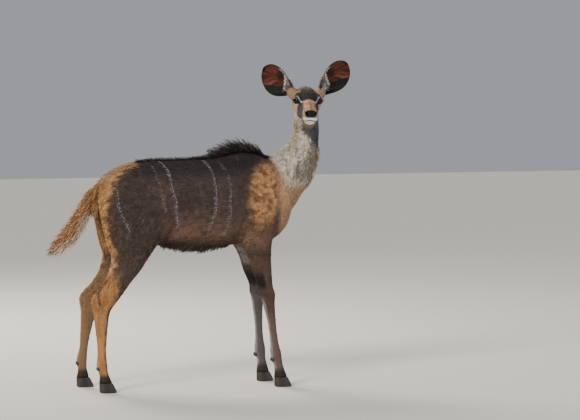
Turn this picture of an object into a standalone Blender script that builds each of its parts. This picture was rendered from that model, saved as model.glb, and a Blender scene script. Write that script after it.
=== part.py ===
"""A young greater kudu cow, standing broadside with its head turned to its right, life size.

Metres, +Z up.  The animal faces +X, its right side is at -Y, and its hooves stand on Z = 0.
The body is one flowing form, lofted through named stations, and is then parted with thin
plane cuts into head, neck, torso, tail and legs.
"""

import math
import random

import bmesh
import bpy
import numpy as np
from mathutils import Matrix, Vector
from mathutils.bvhtree import BVHTree

# Gap kept between neighbouring solids
GAP = 0.0003

# Stations of the torso: (top x, top z), (bottom x, bottom z), half width, narrowing of the top
TORSO = [
    ((-0.446, 0.838), (-0.446, 0.755), 0.040, 0.0),   # back of the rump
    ((-0.420, 0.888), (-0.425, 0.690), 0.086, 0.0),   # pin bones
    ((-0.345, 0.938), (-0.340, 0.630), 0.116, 0.05),  # croup
    ((-0.235, 0.961), (-0.225, 0.604), 0.126, 0.10),  # hips
    ((-0.130, 0.963), (-0.120, 0.596), 0.126, 0.10),  # loin
    ((-0.020, 0.966), (-0.010, 0.586), 0.137, 0.12),  # middle of the barrel
    ((0.085, 0.976), (0.090, 0.590), 0.134, 0.20),    # girth
    ((0.180, 0.998), (0.200, 0.604), 0.118, 0.34),    # withers
    ((0.262, 0.982), (0.300, 0.610), 0.104, 0.30),    # shoulder
    ((0.330, 0.940), (0.372, 0.665), 0.082, 0.15),    # breast
    ((0.388, 0.860), (0.402, 0.742), 0.050, 0.0),     # point of the breast
]
# Stations of the neck: (nape x, z), (throat x, z), half width, sideways shift
NECK = [
    ((0.235, 0.955), (0.375, 0.700), 0.088, 0.0),
    ((0.300, 0.974), (0.442, 0.800), 0.080, 0.0),
    ((0.346, 0.997), (0.492, 0.885), 0.071, -0.002),
    ((0.379, 1.026), (0.514, 0.965), 0.063, -0.006),
    ((0.399, 1.066), (0.517, 1.040), 0.056, -0.012),
    ((0.406, 1.112), (0.515, 1.105), 0.053, -0.022),
    ((0.410, 1.170), (0.508, 1.165), 0.050, -0.032),
    ((0.425, 1.212), (0.490, 1.208), 0.036, -0.040),
]
# Stations of a leg, from the trunk to the coronet:
# (front x, z), (back x, z), half width, distance from the middle plane
HIND_NEAR = [
    ((-0.170, 0.840), (-0.415, 0.840), 0.040, 0.062),  # hip
    ((-0.168, 0.720), (-0.440, 0.735), 0.056, 0.076),  # thigh
    ((-0.190, 0.630), (-0.420, 0.628), 0.055, 0.086),  # stifle
    ((-0.236, 0.562), (-0.402, 0.572), 0.048, 0.094),
    ((-0.272, 0.508), (-0.405, 0.540), 0.040, 0.098),  # gaskin
    ((-0.316, 0.457), (-0.418, 0.492), 0.032, 0.100),
    ((-0.352, 0.408), (-0.447, 0.446), 0.025, 0.102),
    ((-0.400, 0.346), (-0.489, 0.388), 0.027, 0.104),  # hock
    ((-0.412, 0.302), (-0.478, 0.318), 0.025, 0.104),
    ((-0.419, 0.235), (-0.469, 0.236), 0.019, 0.105),  # cannon
    ((-0.423, 0.170), (-0.463, 0.168), 0.018, 0.105),
    ((-0.419, 0.118), (-0.468, 0.112), 0.023, 0.106),  # fetlock
    ((-0.415, 0.082), (-0.456, 0.076), 0.020, 0.106),  # pastern
    ((-0.403, 0.052), (-0.456, 0.048), 0.025, 0.107),
    ((-0.399, 0.036), (-0.456, 0.036), 0.027, 0.107),  # coronet
]
FORE_NEAR = [
    ((0.345, 0.800), (0.165, 0.820), 0.045, 0.055),    # shoulder blade
    ((0.330, 0.700), (0.150, 0.690), 0.054, 0.068),    # upper arm
    ((0.300, 0.620), (0.156, 0.612), 0.046, 0.078),    # elbow
    ((0.292, 0.565), (0.184, 0.555), 0.038, 0.084),
    ((0.293, 0.490), (0.208, 0.484), 0.032, 0.088),    # forearm
    ((0.296, 0.430), (0.229, 0.428), 0.027, 0.090),
    ((0.306, 0.394), (0.234, 0.394), 0.029, 0.091),    # carpus
    ((0.305, 0.348), (0.252, 0.345), 0.024, 0.092),
    ((0.310, 0.270), (0.271, 0.268), 0.018, 0.094),    # cannon
    ((0.319, 0.195), (0.281, 0.192), 0.018, 0.095),
    ((0.332, 0.142), (0.282, 0.136), 0.023, 0.096),    # fetlock
    ((0.338, 0.095), (0.298, 0.086), 0.020, 0.097),    # pastern
    ((0.352, 0.056), (0.298, 0.050), 0.025, 0.098),
    ((0.358, 0.036), (0.298, 0.036), 0.027, 0.098),    # coronet
]
# How far the left legs stand from where the right ones do, at the ground
HIND_FAR_STEP = -0.056
FORE_FAR_STEP = -0.028
FORE_FAR_KNEE = 0.006
# Height of the tops of the hooves, and their sizes
CORONET = 0.042
HOOF_LENGTH = 0.068
HOOF_WIDTH = 0.0245
HOOF_AHEAD = 0.010
CLEFT = 0.0024

# Tail, from the rump to its tip: (x, z), half depth of the brush, half width
TAIL = [
    ((-0.395, 0.858), 0.032, 0.030),
    ((-0.440, 0.820), 0.034, 0.030),
    ((-0.478, 0.766), 0.037, 0.031),
    ((-0.512, 0.713), 0.043, 0.033),
    ((-0.548, 0.664), 0.045, 0.032),
    ((-0.588, 0.620), 0.035, 0.025),
    ((-0.620, 0.595), 0.020, 0.015),
    ((-0.638, 0.582), 0.007, 0.006),
]
# Low cores under the long hair, half way to its tips:
# (outer x, z), (root x, z), half width, sideways shift
MANE_CORE = [
    ((-0.010, 0.960), (0.010, 0.925), 0.010, 0.0),
    ((0.075, 0.986), (0.090, 0.930), 0.018, 0.0),
    ((0.172, 1.020), (0.190, 0.950), 0.022, 0.0),
    ((0.240, 1.000), (0.250, 0.950), 0.018, 0.0),
    ((0.285, 0.976), (0.285, 0.940), 0.010, 0.0),
]
BELLY_CORE = [
    ((-0.165, 0.600), (-0.150, 0.660), 0.030, 0.0),
    ((-0.110, 0.584), (-0.100, 0.660), 0.046, 0.0),
    ((-0.030, 0.573), (-0.020, 0.660), 0.052, 0.0),
    ((0.060, 0.577), (0.070, 0.660), 0.048, 0.0),
    ((0.165, 0.606), (0.160, 0.660), 0.026, 0.0),
]
# Long hair: where it starts and ends along the body, its longest length, and its locks' width
MANE = {"span": (0.285, -0.035), "length": 0.056, "width": 0.034, "rows": (-0.009, 0.009), "count": 12,
        "lean": (38, 72)}
BELLY = {"span": (-0.158, 0.155), "length": 0.046, "width": 0.040, "rows": (-0.040, 0.0, 0.040), "count": 9}
THROAT = {"span": (1.055, 0.810), "length": 0.066, "width": 0.034, "rows": (-0.022, 0.002, 0.026), "count": 6,
          "stand": 0.30}
TAIL_LOCKS = {"count": 5, "length": 0.085, "width": 0.040, "core": 0.60}
LOCK_THICKNESS = 0.0065
LOCK_SINK = 0.011
SEED = 11
LOCK_SOLVER = "MANIFOLD"

# Head: the point between the eyes, how far it is turned, bowed and rolled, in degrees
EYE_MIDDLE = Vector((0.442, -0.110, 1.210))
HEAD_TURN = -98.5
HEAD_BOW = 22.0
HEAD_ROLL = 2.2
# Stations of the head along its own axis:
# distance ahead of the eyes, top, bottom, half width, narrowing of the top
HEAD = [
    (-0.112, 0.006, -0.040, 0.022, 0.0),
    (-0.098, 0.021, -0.058, 0.042, 0.0),
    (-0.070, 0.031, -0.078, 0.056, 0.0),   # crown
    (-0.035, 0.035, -0.088, 0.062, -0.05),
    (-0.005, 0.036, -0.088, 0.061, -0.10),  # eyes
    (0.022, 0.029, -0.080, 0.052, -0.06),
    (0.048, 0.023, -0.074, 0.041, 0.04),
    (0.075, 0.019, -0.071, 0.034, 0.04),   # bridge of the nose
    (0.098, 0.016, -0.071, 0.032, -0.10),
    (0.116, 0.012, -0.068, 0.033, -0.16),  # muzzle
    (0.130, 0.005, -0.057, 0.029, -0.16),
    (0.137, -0.004, -0.042, 0.020, -0.10),
]
# Eyes, in the head's own frame: ahead, up and to the side
EYE_PLACE = (0.005, 0.000, 0.0410)
EYE_AIM = (0.74, 0.14, 0.66)
EYE_RADIUS = 0.0205
LID_RADIUS = 0.0245
# Ears: root in the head's frame, and the direction that each grows in
EAR_ROOT = (-0.058, 0.006, 0.058)
EAR_SEAT = 0.014
EAR_LENGTH = 0.172
EAR_WIDTH = 0.122
EAR_STEM = 0.012
EAR_WIDEST = 0.60
EAR_WALL = 0.0036
EAR_SAG = 0.013
EAR_LEAN = 0.008
EAR_RIGHT_AIM = (-0.653, 0.345, -0.674)
EAR_LEFT_AIM = (-0.294, 0.727, 0.622)
# Mouth and nostrils, in the head's frame
MOUTH_HEIGHT = -0.033
MOUTH_SPAN = (0.110, 0.058)
MOUTH_RADIUS = 0.0022
LIP = (0.117, -0.021, 0.015)
CHIN = (0.105, -0.062, 0.0)
NOSTRIL = (0.131, -0.004, 0.0165)

# Planes that part the body: a point and the direction of the side that is cut away
NECK_PLANE = (Vector((0.355, 0.0, 0.872)), Vector((0.90, 0.0, 0.436)))
HEAD_PLANE = (Vector((0.462, -0.012, 1.135)), Vector((0.0, -0.48, 0.877)))
TAIL_PLANE = (Vector((-0.4535, 0.0, 0.80)), Vector((-1.0, 0.0, 0.0)))
FORE_PLANE = (Vector((0.20, 0.0, 0.556)), Vector((0.0, 0.0, -1.0)))
HIND_PLANE = (Vector((-0.150, 0.0, 0.548)), Vector((-0.335, 0.0, -0.942)))
KNEE_PLANE = (Vector((0.268, 0.0, 0.368)), Vector((0.10, 0.0, -0.995)))
HOCK_PLANE = (Vector((-0.452, 0.0, 0.338)), Vector((0.05, 0.0, -0.999)))
CORONET_PLANE = (Vector((0.0, 0.0, CORONET)), Vector((0.0, 0.0, -1.0)))

# Mesh sizes: voxels of the body and of the head, and how many triangles each keeps
BODY_VOXEL = 0.007
HEAD_VOXEL = 0.0035
BODY_TRIANGLES = 4200
HEAD_TRIANGLES = 1400
RING = 28
RIDGE_RING = 16
HOOF_RING = 12
LID_POINTS = 7
NECK_TOP = 4

COAT = "coat_grey_brown"
COLOURS = {
    COAT: ((0.30, 0.21, 0.14), 0.85),
    "coat_tan": ((0.42, 0.25, 0.12), 0.85),
    "ear_mahogany": ((0.20, 0.07, 0.04), 0.80),
    "eye_dark": ((0.010, 0.007, 0.006), 0.08),
    "hoof_black": ((0.020, 0.018, 0.017), 0.45),
}


def clear_scene():
    for thing in list(bpy.data.objects):
        bpy.data.objects.remove(thing, do_unlink=True)


def material(name):
    """The Principled material of this name, made once."""
    found = bpy.data.materials.get(name)
    if found:
        return found
    colour, roughness = COLOURS[name]
    made = bpy.data.materials.new(name)
    made.use_nodes = True
    shader = made.node_tree.nodes["Principled BSDF"]
    shader.inputs["Base Color"].default_value = (*colour, 1.0)
    shader.inputs["Roughness"].default_value = roughness
    shader.inputs["Metallic"].default_value = 0.0
    return made


def collection(name):
    made = bpy.data.collections.new(name)
    bpy.context.scene.collection.children.link(made)
    return made


def mesh_object(name, bm, into, slot=COAT):
    """A smooth-shaded object made from a bmesh, which is freed."""
    bmesh.ops.triangulate(bm, faces=bm.faces)
    mesh = bpy.data.meshes.new(name)
    bm.to_mesh(mesh)
    bm.free()
    mesh.materials.append(material(slot))
    mesh.shade_smooth()
    mesh.set_sharp_from_angle(angle=math.radians(50))
    made = bpy.data.objects.new(name, mesh)
    into.objects.link(made)
    return made


def spline(rows, steps):
    """Rows of numbers run through with a Catmull-Rom curve, with this many steps a span."""
    rows = np.array(rows, float)
    padded = np.vstack([2 * rows[0] - rows[1], rows, 2 * rows[-1] - rows[-2]])
    out = []
    for i in range(len(rows) - 1):
        a, b, c, d = padded[i:i + 4]
        for k in range(steps):
            t = k / steps
            out.append(0.5 * (2 * b + (c - a) * t + (2 * a - 5 * b + 4 * c - d) * t * t
                              + (3 * b - a - 3 * c + d) * t ** 3))
    out.append(rows[-1])
    return out


def ring(centre, along, across, narrow=0.0, count=RING):
    """Points of an oval: `along` is its upper half axis, `across` its side half axis."""
    points = []
    for k in range(count):
        turn = math.tau * k / count
        side = math.sin(turn) * (1.0 - narrow * math.cos(turn))
        points.append(centre + along * math.cos(turn) + across * side)
    return points


def loft(rings):
    """A closed bmesh skin through rings of equal count, capped at both ends."""
    bm = bmesh.new()
    rows = [[bm.verts.new(p) for p in points] for points in rings]
    for low, high in zip(rows, rows[1:]):
        for k in range(len(low)):
            following = (k + 1) % len(low)
            bm.faces.new((low[k], low[following], high[following], high[k]))
    for row in (rows[0], rows[-1]):
        bm.faces.new(row)
    bmesh.ops.recalc_face_normals(bm, faces=bm.faces)
    return bm


def profile_loft(stations, steps=4):
    """A loft through stations seen from the side, each with an upper and a lower point."""
    rows = [(*top, *bottom, half, extra) for top, bottom, half, extra in stations]
    rings = []
    for top_x, top_z, low_x, low_z, half, extra in spline(rows, steps):
        centre = Vector(((top_x + low_x) / 2, 0.0, (top_z + low_z) / 2))
        along = Vector(((top_x - low_x) / 2, 0.0, (top_z - low_z) / 2))
        rings.append((centre, along, half, extra))
    return rings


def torso_form():
    return loft([ring(c, a, Vector((0, w, 0)), narrow) for c, a, w, narrow in profile_loft(TORSO)])


def neck_form(first=0):
    """The neck, from this station of it upwards."""
    return loft([ring(c + Vector((0, shift, 0)), a, Vector((0, w, 0)))
                 for c, a, w, shift in profile_loft(NECK[first:])])


def ridge_form(stations):
    return loft([ring(c + Vector((0, shift, 0)), a, Vector((0, w, 0)), count=RIDGE_RING)
                 for c, a, w, shift in profile_loft(stations)])


def leg_form(stations, side, foot_step=0.0, knee_step=0.0):
    """One leg, `side` -1 on the right and +1 on the left; a step shifts it along, more at the foot."""
    rings = []
    for centre, along, half, out in profile_loft(stations):
        lower = min(1.0, max(0.0, (0.42 - centre.z) / 0.38))
        bend = math.exp(-((centre.z - 0.40) / 0.06) ** 2)
        shift = Vector((foot_step * lower + knee_step * bend, side * out, 0.0))
        rings.append(ring(centre + shift, along, Vector((0, half, 0))))
    return loft(rings)


def tail_form():
    rings = []
    rows = spline([(*point, depth, half) for point, depth, half in TAIL], 4)
    for k, (x, z, depth, half) in enumerate(rows):
        thin = TAIL_LOCKS["core"] if x < TAIL_PLANE[0].x else 1.0
        depth, half = depth * thin, half * thin
        ahead, behind = rows[min(k + 1, len(rows) - 1)], rows[max(k - 1, 0)]
        run = Vector((ahead[0] - behind[0], 0.0, ahead[1] - behind[1])).normalized()
        up = Vector((run.z, 0.0, -run.x))
        rings.append(ring(Vector((x, 0, z)), up * depth, Vector((0, half, 0))))
    return loft(rings)


def head_frame():
    """The head's own axes, as columns: ahead, up, to the animal's left."""
    turn = math.radians(HEAD_TURN)
    bow = math.radians(HEAD_BOW)
    ahead = Vector((math.cos(bow) * math.cos(turn), math.cos(bow) * math.sin(turn), -math.sin(bow)))
    up = Vector((math.sin(bow) * math.cos(turn), math.sin(bow) * math.sin(turn), math.cos(bow)))
    roll = Matrix.Rotation(math.radians(-HEAD_ROLL), 3, ahead)
    up = roll @ up
    left = up.cross(ahead)
    return ahead, up, left


AHEAD, UP, LEFT = head_frame()


def on_head(forward, up, left):
    """A place given in the head's frame, in the world's."""
    return EYE_MIDDLE + AHEAD * forward + UP * up + LEFT * left


def head_form():
    rings = []
    for forward, top, bottom, half, narrow in spline(HEAD, 4):
        centre = on_head(forward, (top + bottom) / 2, 0.0)
        rings.append(ring(centre, UP * (top - bottom) / 2, LEFT * half, narrow))
    return loft(rings)


def ball(centre, axes, segments=20, rings=12):
    """An ellipsoid with these three half axes."""
    bm = bmesh.new()
    bmesh.ops.create_uvsphere(bm, u_segments=segments, v_segments=rings, radius=1.0)
    frame = Matrix((axes[0], axes[1], axes[2])).transposed().to_4x4()
    bmesh.ops.transform(bm, matrix=Matrix.Translation(centre) @ frame, verts=bm.verts)
    bmesh.ops.recalc_face_normals(bm, faces=bm.faces)
    return bm


def eye_centre(side):
    forward, up, out = EYE_PLACE
    return on_head(forward, up, out * side)


def eye_axes(side):
    """Out of the socket, towards the head's front, and up."""
    out = (LEFT * side * EYE_AIM[2] + AHEAD * EYE_AIM[0] + UP * EYE_AIM[1]).normalized()
    upward = (UP - out * UP.dot(out)).normalized()
    return out, out.cross(upward), upward


def ear_axes(side):
    """Along the ear, across it, and the way that its cup faces."""
    aim = EAR_LEFT_AIM if side > 0 else EAR_RIGHT_AIM
    run = (AHEAD * aim[0] + UP * aim[1] + LEFT * aim[2]).normalized()
    face = AHEAD + LEFT * side * 0.22
    face = (face - run * face.dot(run)).normalized()
    return run, face.cross(run), face


def ear_root(side):
    forward, up, out = EAR_ROOT
    return on_head(forward, up, out * side)


def ear_half_width(t):
    """Half the ear's chord at t along it, 0 at the root and 1 at the tip."""
    if t < EAR_WIDEST:
        return EAR_STEM + (EAR_WIDTH / 2 - EAR_STEM) * math.sin(math.pi / 2 * t / EAR_WIDEST) ** 1.15
    return EAR_WIDTH / 2 * math.sqrt(max(0.0, 1.0 - ((t - EAR_WIDEST) / (1.0 - EAR_WIDEST)) ** 2))


def ear_shell(side, name, into, rows=11, columns=7):
    """The cupped sheet of an ear, rolled into a funnel at its root, with its wall."""
    run, across, face = ear_axes(side)
    bm = bmesh.new()
    grid = []
    for i in range(rows):
        t = 0.998 * (1.0 - (1.0 - i / (rows - 1)) ** 1.4)
        half = ear_half_width(t)
        arc = math.radians(58 + 192 * max(0.0, 1.0 - t / 0.62) ** 1.5)
        radius = half / math.sin(min(arc / 2, math.pi / 2))
        bend = math.sin(math.pi * t)
        row = []
        for k in range(columns + 1):
            angle = arc * (k / columns - 0.5)
            depth = radius * (max(0.0, math.cos(arc / 2)) - math.cos(angle))
            place = (ear_root(side) + run * (EAR_LENGTH * t)
                     + across * (radius * math.sin(angle) - side * EAR_SAG * bend)
                     + face * (depth - EAR_LEAN * bend))
            row.append(bm.verts.new(place))
        grid.append(row)
    for low, high in zip(grid, grid[1:]):
        for k in range(columns):
            bm.faces.new((low[k], low[k + 1], high[k + 1], high[k]))
    shell = mesh_object(name, bm, into)
    wall = shell.modifiers.new("wall", "SOLIDIFY")
    wall.thickness = EAR_WALL
    wall.offset = 0.0
    wall.use_even_offset = False
    return shell


def join_meshes(name, bms, into):
    """Several bmeshes as one mesh object."""
    joined = bmesh.new()
    for bm in bms:
        part = bpy.data.meshes.new("part")
        bm.to_mesh(part)
        bm.free()
        joined.from_mesh(part)
        bpy.data.meshes.remove(part)
    return mesh_object(name, joined, into)


def applied(thing):
    """The object's mesh with its modifiers applied, and the modifiers gone."""
    depsgraph = bpy.context.evaluated_depsgraph_get()
    mesh = bpy.data.meshes.new_from_object(thing.evaluated_get(depsgraph))
    thing.modifiers.clear()
    thing.data = mesh
    return thing


def eased(mesh, rounds):
    """Taubin smoothing, which rounds off creases without shrinking the form."""
    points = np.empty(len(mesh.vertices) * 3)
    mesh.vertices.foreach_get("co", points)
    points = points.reshape(-1, 3)
    ends = np.empty(len(mesh.edges) * 2, int)
    mesh.edges.foreach_get("vertices", ends)
    ends = ends.reshape(-1, 2)
    count = np.bincount(ends.ravel(), minlength=len(points)).reshape(-1, 1)
    for k in range(rounds * 2):
        total = np.zeros_like(points)
        np.add.at(total, ends[:, 0], points[ends[:, 1]])
        np.add.at(total, ends[:, 1], points[ends[:, 0]])
        points += (0.55 if k % 2 == 0 else -0.57) * (total / count - points)
    mesh.vertices.foreach_set("co", points.ravel())
    mesh.update()


def one_skin(name, bms, voxel, triangles, rounds, into):
    """Overlapping forms made one closed skin, eased, and thinned to this many triangles."""
    thing = join_meshes(name, bms, into)
    remesh = thing.modifiers.new("skin", "REMESH")
    remesh.mode = "VOXEL"
    remesh.voxel_size = voxel
    applied(thing)
    eased(thing.data, rounds)
    thin = thing.modifiers.new("thin", "DECIMATE")
    thin.ratio = min(1.0, triangles / (2 * len(thing.data.polygons)))
    applied(thing)
    return thing


def cut(bm, plane, keep_beyond):
    """Cuts a bmesh at a plane, half the gap off it, and closes the cut."""
    point, away = plane
    away = away.normalized()
    offset = GAP / 2 if keep_beyond else -GAP / 2
    bmesh.ops.bisect_plane(bm, geom=bm.verts[:] + bm.edges[:] + bm.faces[:], dist=1e-7,
                           plane_co=point + away * offset, plane_no=away,
                           clear_outer=not keep_beyond, clear_inner=keep_beyond)
    rims = [edge for edge in bm.edges if edge.is_boundary]
    filled = bmesh.ops.holes_fill(bm, edges=rims, sides=0)
    bmesh.ops.triangulate(bm, faces=filled["faces"])


def islands(bm):
    """The sets of vertices that hang together."""
    left = set(bm.verts)
    found = []
    while left:
        stack = [left.pop()]
        island = set(stack)
        while stack:
            for edge in stack.pop().link_edges:
                for vert in edge.verts:
                    if vert in left:
                        left.discard(vert)
                        island.add(vert)
                        stack.append(vert)
        found.append(island)
    return found


def keep_island(bm, near=None):
    """Keeps the largest island, or the one whose middle is nearest a point."""
    found = islands(bm)
    if near is None:
        kept = max(found, key=len)
    else:
        kept = min((i for i in found if len(i) > 8),
                   key=lambda i: (sum((v.co for v in i), Vector()) / len(i) - near).length)
    bmesh.ops.delete(bm, geom=[v for v in bm.verts if v not in kept], context="VERTS")


def piece(source, name, cuts, into, near=None, slot=COAT):
    """A node cut out of the one skin: each cut is a plane and whether its far side is kept."""
    bm = bmesh.new()
    bm.from_mesh(source.data)
    for plane, keep_beyond in cuts:
        cut(bm, plane, keep_beyond)
    keep_island(bm, near)
    return mesh_object(name, bm, into, slot)


def fused(thing, tools, operation, solver="EXACT"):
    """A Boolean of one object with a collection's, applied, keeping the largest closed surface."""
    step = thing.modifiers.new("fuse", "BOOLEAN")
    step.operation = operation
    step.operand_type = "COLLECTION"
    step.collection = tools
    step.solver = solver
    applied(thing)
    bm = bmesh.new()
    bm.from_mesh(thing.data)
    keep_island(bm)
    bmesh.ops.dissolve_degenerate(bm, dist=1e-6, edges=bm.edges)
    bmesh.ops.triangulate(bm, faces=bm.faces)
    bm.to_mesh(thing.data)
    bm.free()
    thing.data.shade_smooth()
    thing.data.set_sharp_from_angle(angle=math.radians(50))
    for tool in list(tools.objects):
        bpy.data.objects.remove(tool, do_unlink=True)


def tube(points, radii, count=8):
    """A round closed tube along points, with a radius at each."""
    rings = []
    for k, (point, radius) in enumerate(zip(points, radii)):
        run = (points[min(k + 1, len(points) - 1)] - points[max(k - 1, 0)]).normalized()
        side = run.orthogonal().normalized() if k == 0 else (side - run * side.dot(run)).normalized()
        rings.append(ring(point, side * radius, run.cross(side) * radius, count=count))
    return loft(rings)


def mouth_line(surface):
    """The line of the mouth on the head's skin, from one corner round the muzzle to the other."""
    tip, corner = MOUTH_SPAN
    steps = 6
    places = []
    for k in range(-steps, steps + 1):
        turn = math.pi / 2 * k / steps
        aim = AHEAD * math.cos(turn) + LEFT * math.sin(turn)
        middle = on_head(corner + (tip - corner) * math.cos(turn), MOUTH_HEIGHT - 0.005 * abs(math.sin(turn)), 0.0)
        places.append(surface.ray_cast(middle + aim * 0.2, -aim)[0])
    return places


def lid(side, upper):
    """A lid: a bent, tapered roll over the eyeball, along the upper or the lower rim of the opening."""
    out, along, up = eye_axes(side)
    centre = eye_centre(side)
    points, radii = [], []
    for k in range(LID_POINTS):
        share = -1.0 + 2.0 * k / (LID_POINTS - 1)
        rise = (0.0108 if upper else -0.0100) * math.cos(share * math.pi / 2) + 0.0005
        reach = 0.0176 * share
        lift = math.sqrt(max(0.0, LID_RADIUS ** 2 - rise ** 2 - reach ** 2)) - 0.0020
        points.append(centre + out * lift + along * reach + up * rise)
        radii.append(0.0030 if abs(share) < 1.0 else 0.0022)
    return tube(points, radii, 6)


def hoof_claw(name, centre_x, centre_y, inner, into):
    """One claw of a cloven hoof; `inner` is +1 where its flat inner wall faces +Y."""
    levels = [(0.0, 1.0, 0.0), (0.010, 0.985, -0.001), (0.026, 0.88, -0.005),
              (CORONET - GAP / 2, 0.76, -0.009)]
    rings = []
    for height, size, back in levels:
        points = []
        for k in range(HOOF_RING):
            turn = math.tau * k / HOOF_RING
            reach = math.cos(turn)
            if math.sin(turn) > 0:
                across = HOOF_WIDTH / 2 * math.sin(turn) * (1.0 - 0.40 * max(0.0, reach) ** 2) * size
            else:
                across = -HOOF_WIDTH / 2 * (1.0 - abs(reach) ** 6)
            points.append(Vector((centre_x + back + HOOF_LENGTH / 2 * size * reach,
                                  centre_y - inner * across, height)))
        rings.append(points)
    return mesh_object(name, loft(rings), into, "hoof_black")


def hoof(leg_name, stations, side, foot_step, into):
    """Both claws of a foot, under the coronet of its leg."""
    front, back, _, out = stations[-1]
    centre_x = (front[0] + back[0]) / 2 + foot_step + HOOF_AHEAD
    for place, word in ((-1, "outer"), (1, "inner")):
        inward = -side
        centre_y = side * out + inward * place * (HOOF_WIDTH + CLEFT) / 2
        hoof_claw(f"{leg_name}_claw_{word}", centre_x, centre_y, -inward * place, into)


def eyeball(side, radius):
    return ball(eye_centre(side), [axis * radius for axis in eye_axes(side)], 12, 7)


def lock(root, run, bend, face, length, width):
    """A flat tapered lock: from inside its root it runs along `run`, bending towards `bend`."""
    across = run.cross(face).normalized()
    face = across.cross(run).normalized()
    place = root - run * LOCK_SINK
    rings = []
    steps = ((0.0, 0.85), (0.42, 1.0), (0.78, 0.55), (1.0, 0.06))
    total = length + LOCK_SINK
    for k, (share, size) in enumerate(steps):
        if k:
            heading = (run + bend * share).normalized()
            place = place + heading * total * (share - steps[k - 1][0])
        half = width / 2 * size
        thick = LOCK_THICKNESS / 2 * (0.35 + 0.65 * size)
        rings.append([place + across * half, place + face * thick,
                      place - across * half, place - face * thick])
    return loft(rings)


def swell(share, peak=0.5):
    """0 at both ends of a span and 1 at its peak."""
    return math.sin(math.pi * share ** (math.log(0.5) / math.log(peak)))


def mane_locks(skin, chance):
    """The stiff hair of the withers, two rows, rising and leaning back."""
    for row, out in enumerate(MANE["rows"]):
        for k in range(MANE["count"]):
            share = (k + 0.5 * row + 0.25) / MANE["count"]
            x = MANE["span"][0] + (MANE["span"][1] - MANE["span"][0]) * share
            hit = skin.ray_cast(Vector((x, out, 2.0)), Vector((0, 0, -1)))[0]
            lean = math.radians(MANE["lean"][0] + (MANE["lean"][1] - MANE["lean"][0]) * share
                                + chance.uniform(-5, 5))
            run = Vector((-math.sin(lean), chance.uniform(-0.1, 0.1) + 8 * out, math.cos(lean))).normalized()
            length = MANE["length"] * (0.35 + 0.65 * swell(share, 0.40)) * chance.uniform(0.9, 1.08)
            yield lock(hit, run, Vector((-0.35, 0, -0.12)), Vector((0, 1, 0)), length, MANE["width"])


def belly_locks(skin, chance):
    """The fringe under the belly, rows of locks that hang and lie back."""
    for row, out in enumerate(BELLY["rows"]):
        for k in range(BELLY["count"]):
            share = (k + 0.5 * (row % 2) + 0.25) / BELLY["count"]
            x = BELLY["span"][0] + (BELLY["span"][1] - BELLY["span"][0]) * share
            hit = skin.ray_cast(Vector((x, out, 0.2)), Vector((0, 0, 1)))[0]
            run = Vector((-0.45 + chance.uniform(-0.1, 0.1), out * 6, -1.0)).normalized()
            length = BELLY["length"] * (0.40 + 0.60 * swell(share, 0.40)) * chance.uniform(0.88, 1.0)
            length = min(length, (hit.z - FORE_PLANE[0].z - 0.002) / -run.z)
            yield lock(hit, run, Vector((-0.25, 0, -0.3)), Vector((0.2, math.copysign(1.0, out), 0)),
                       length, BELLY["width"])


def throat_locks(skin, chance):
    """The fringe down the front of the neck, lying down and standing a little off."""
    for row, out in enumerate(THROAT["rows"]):
        for k in range(THROAT["count"]):
            share = (k + 0.5 * (row % 2) + 0.25) / THROAT["count"]
            z = THROAT["span"][0] + (THROAT["span"][1] - THROAT["span"][0]) * share
            hit, normal = skin.ray_cast(Vector((1.0, out - 0.01 * (1 - share), z)), Vector((-1, 0, 0)))[:2]
            run = (Vector((0.0, 0.0, -1.0)) + normal * THROAT["stand"]).normalized()
            length = THROAT["length"] * (0.5 + 0.5 * swell(share, 0.6)) * chance.uniform(0.9, 1.1)
            yield lock(hit, run, Vector((-0.10, 0, -0.35)) - normal * 0.1, normal, length, THROAT["width"])


def tail_locks(chance):
    """The brush of the tail: locks all round its core, lying along it to the tips."""
    rows = spline([(*point, depth, half) for point, depth, half in TAIL], TAIL_LOCKS["count"])
    rows = [row for row in rows if row[0] < TAIL_PLANE[0].x - 0.008]
    for k in range(TAIL_LOCKS["count"]):
        place = int(k / (TAIL_LOCKS["count"] - 1) * (len(rows) * 0.62))
        x, z, depth, half = rows[place]
        ahead = rows[place + 2]
        run = Vector((ahead[0] - x, 0.0, ahead[1] - z)).normalized()
        up = Vector((run.z, 0.0, -run.x))
        for side_up, side_out in ((1, 0.25), (-1, -0.25), (0.1, 1), (-0.1, -1)):
            outward = (up * side_up + Vector((0, side_out, 0))).normalized()
            reach = abs(side_up) * depth + abs(side_out) * half * 0.9
            root = Vector((x, 0, z)) + outward * reach * TAIL_LOCKS["core"] * 0.8
            length = TAIL_LOCKS["length"] * chance.uniform(0.85, 1.05)
            length = min(length, (x - TAIL[-1][0][0]) / -run.x)
            heading = (run + outward * 0.34).normalized()
            yield lock(root, heading, -outward * 0.30, outward, length, TAIL_LOCKS["width"])


def grow_long_hair(skin, workshop):
    """Fuses mane, belly fringe, throat fringe and tail brush to the one skin."""
    chance = random.Random(SEED)
    bm = bmesh.new()
    bm.from_mesh(skin.data)
    surface = BVHTree.FromBMesh(bm)
    bm.free()
    bms = [*mane_locks(surface, chance), *belly_locks(surface, chance),
           *throat_locks(surface, chance), *tail_locks(chance)]
    for k, made in enumerate(bms):
        mesh_object(f"lock_{k}", made, workshop)
    fused(skin, workshop, "UNION", LOCK_SOLVER)


def ear_plane(side):
    """Where an ear stands on the head: a plane across its root."""
    run = ear_axes(side)[0]
    return ear_root(side) + run * EAR_SEAT, run


def ear_mound(side):
    run, across, face = ear_axes(side)
    return ball(ear_root(side) - run * 0.010, (run * 0.040, across * 0.026, face * 0.025), 16, 10)


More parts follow.
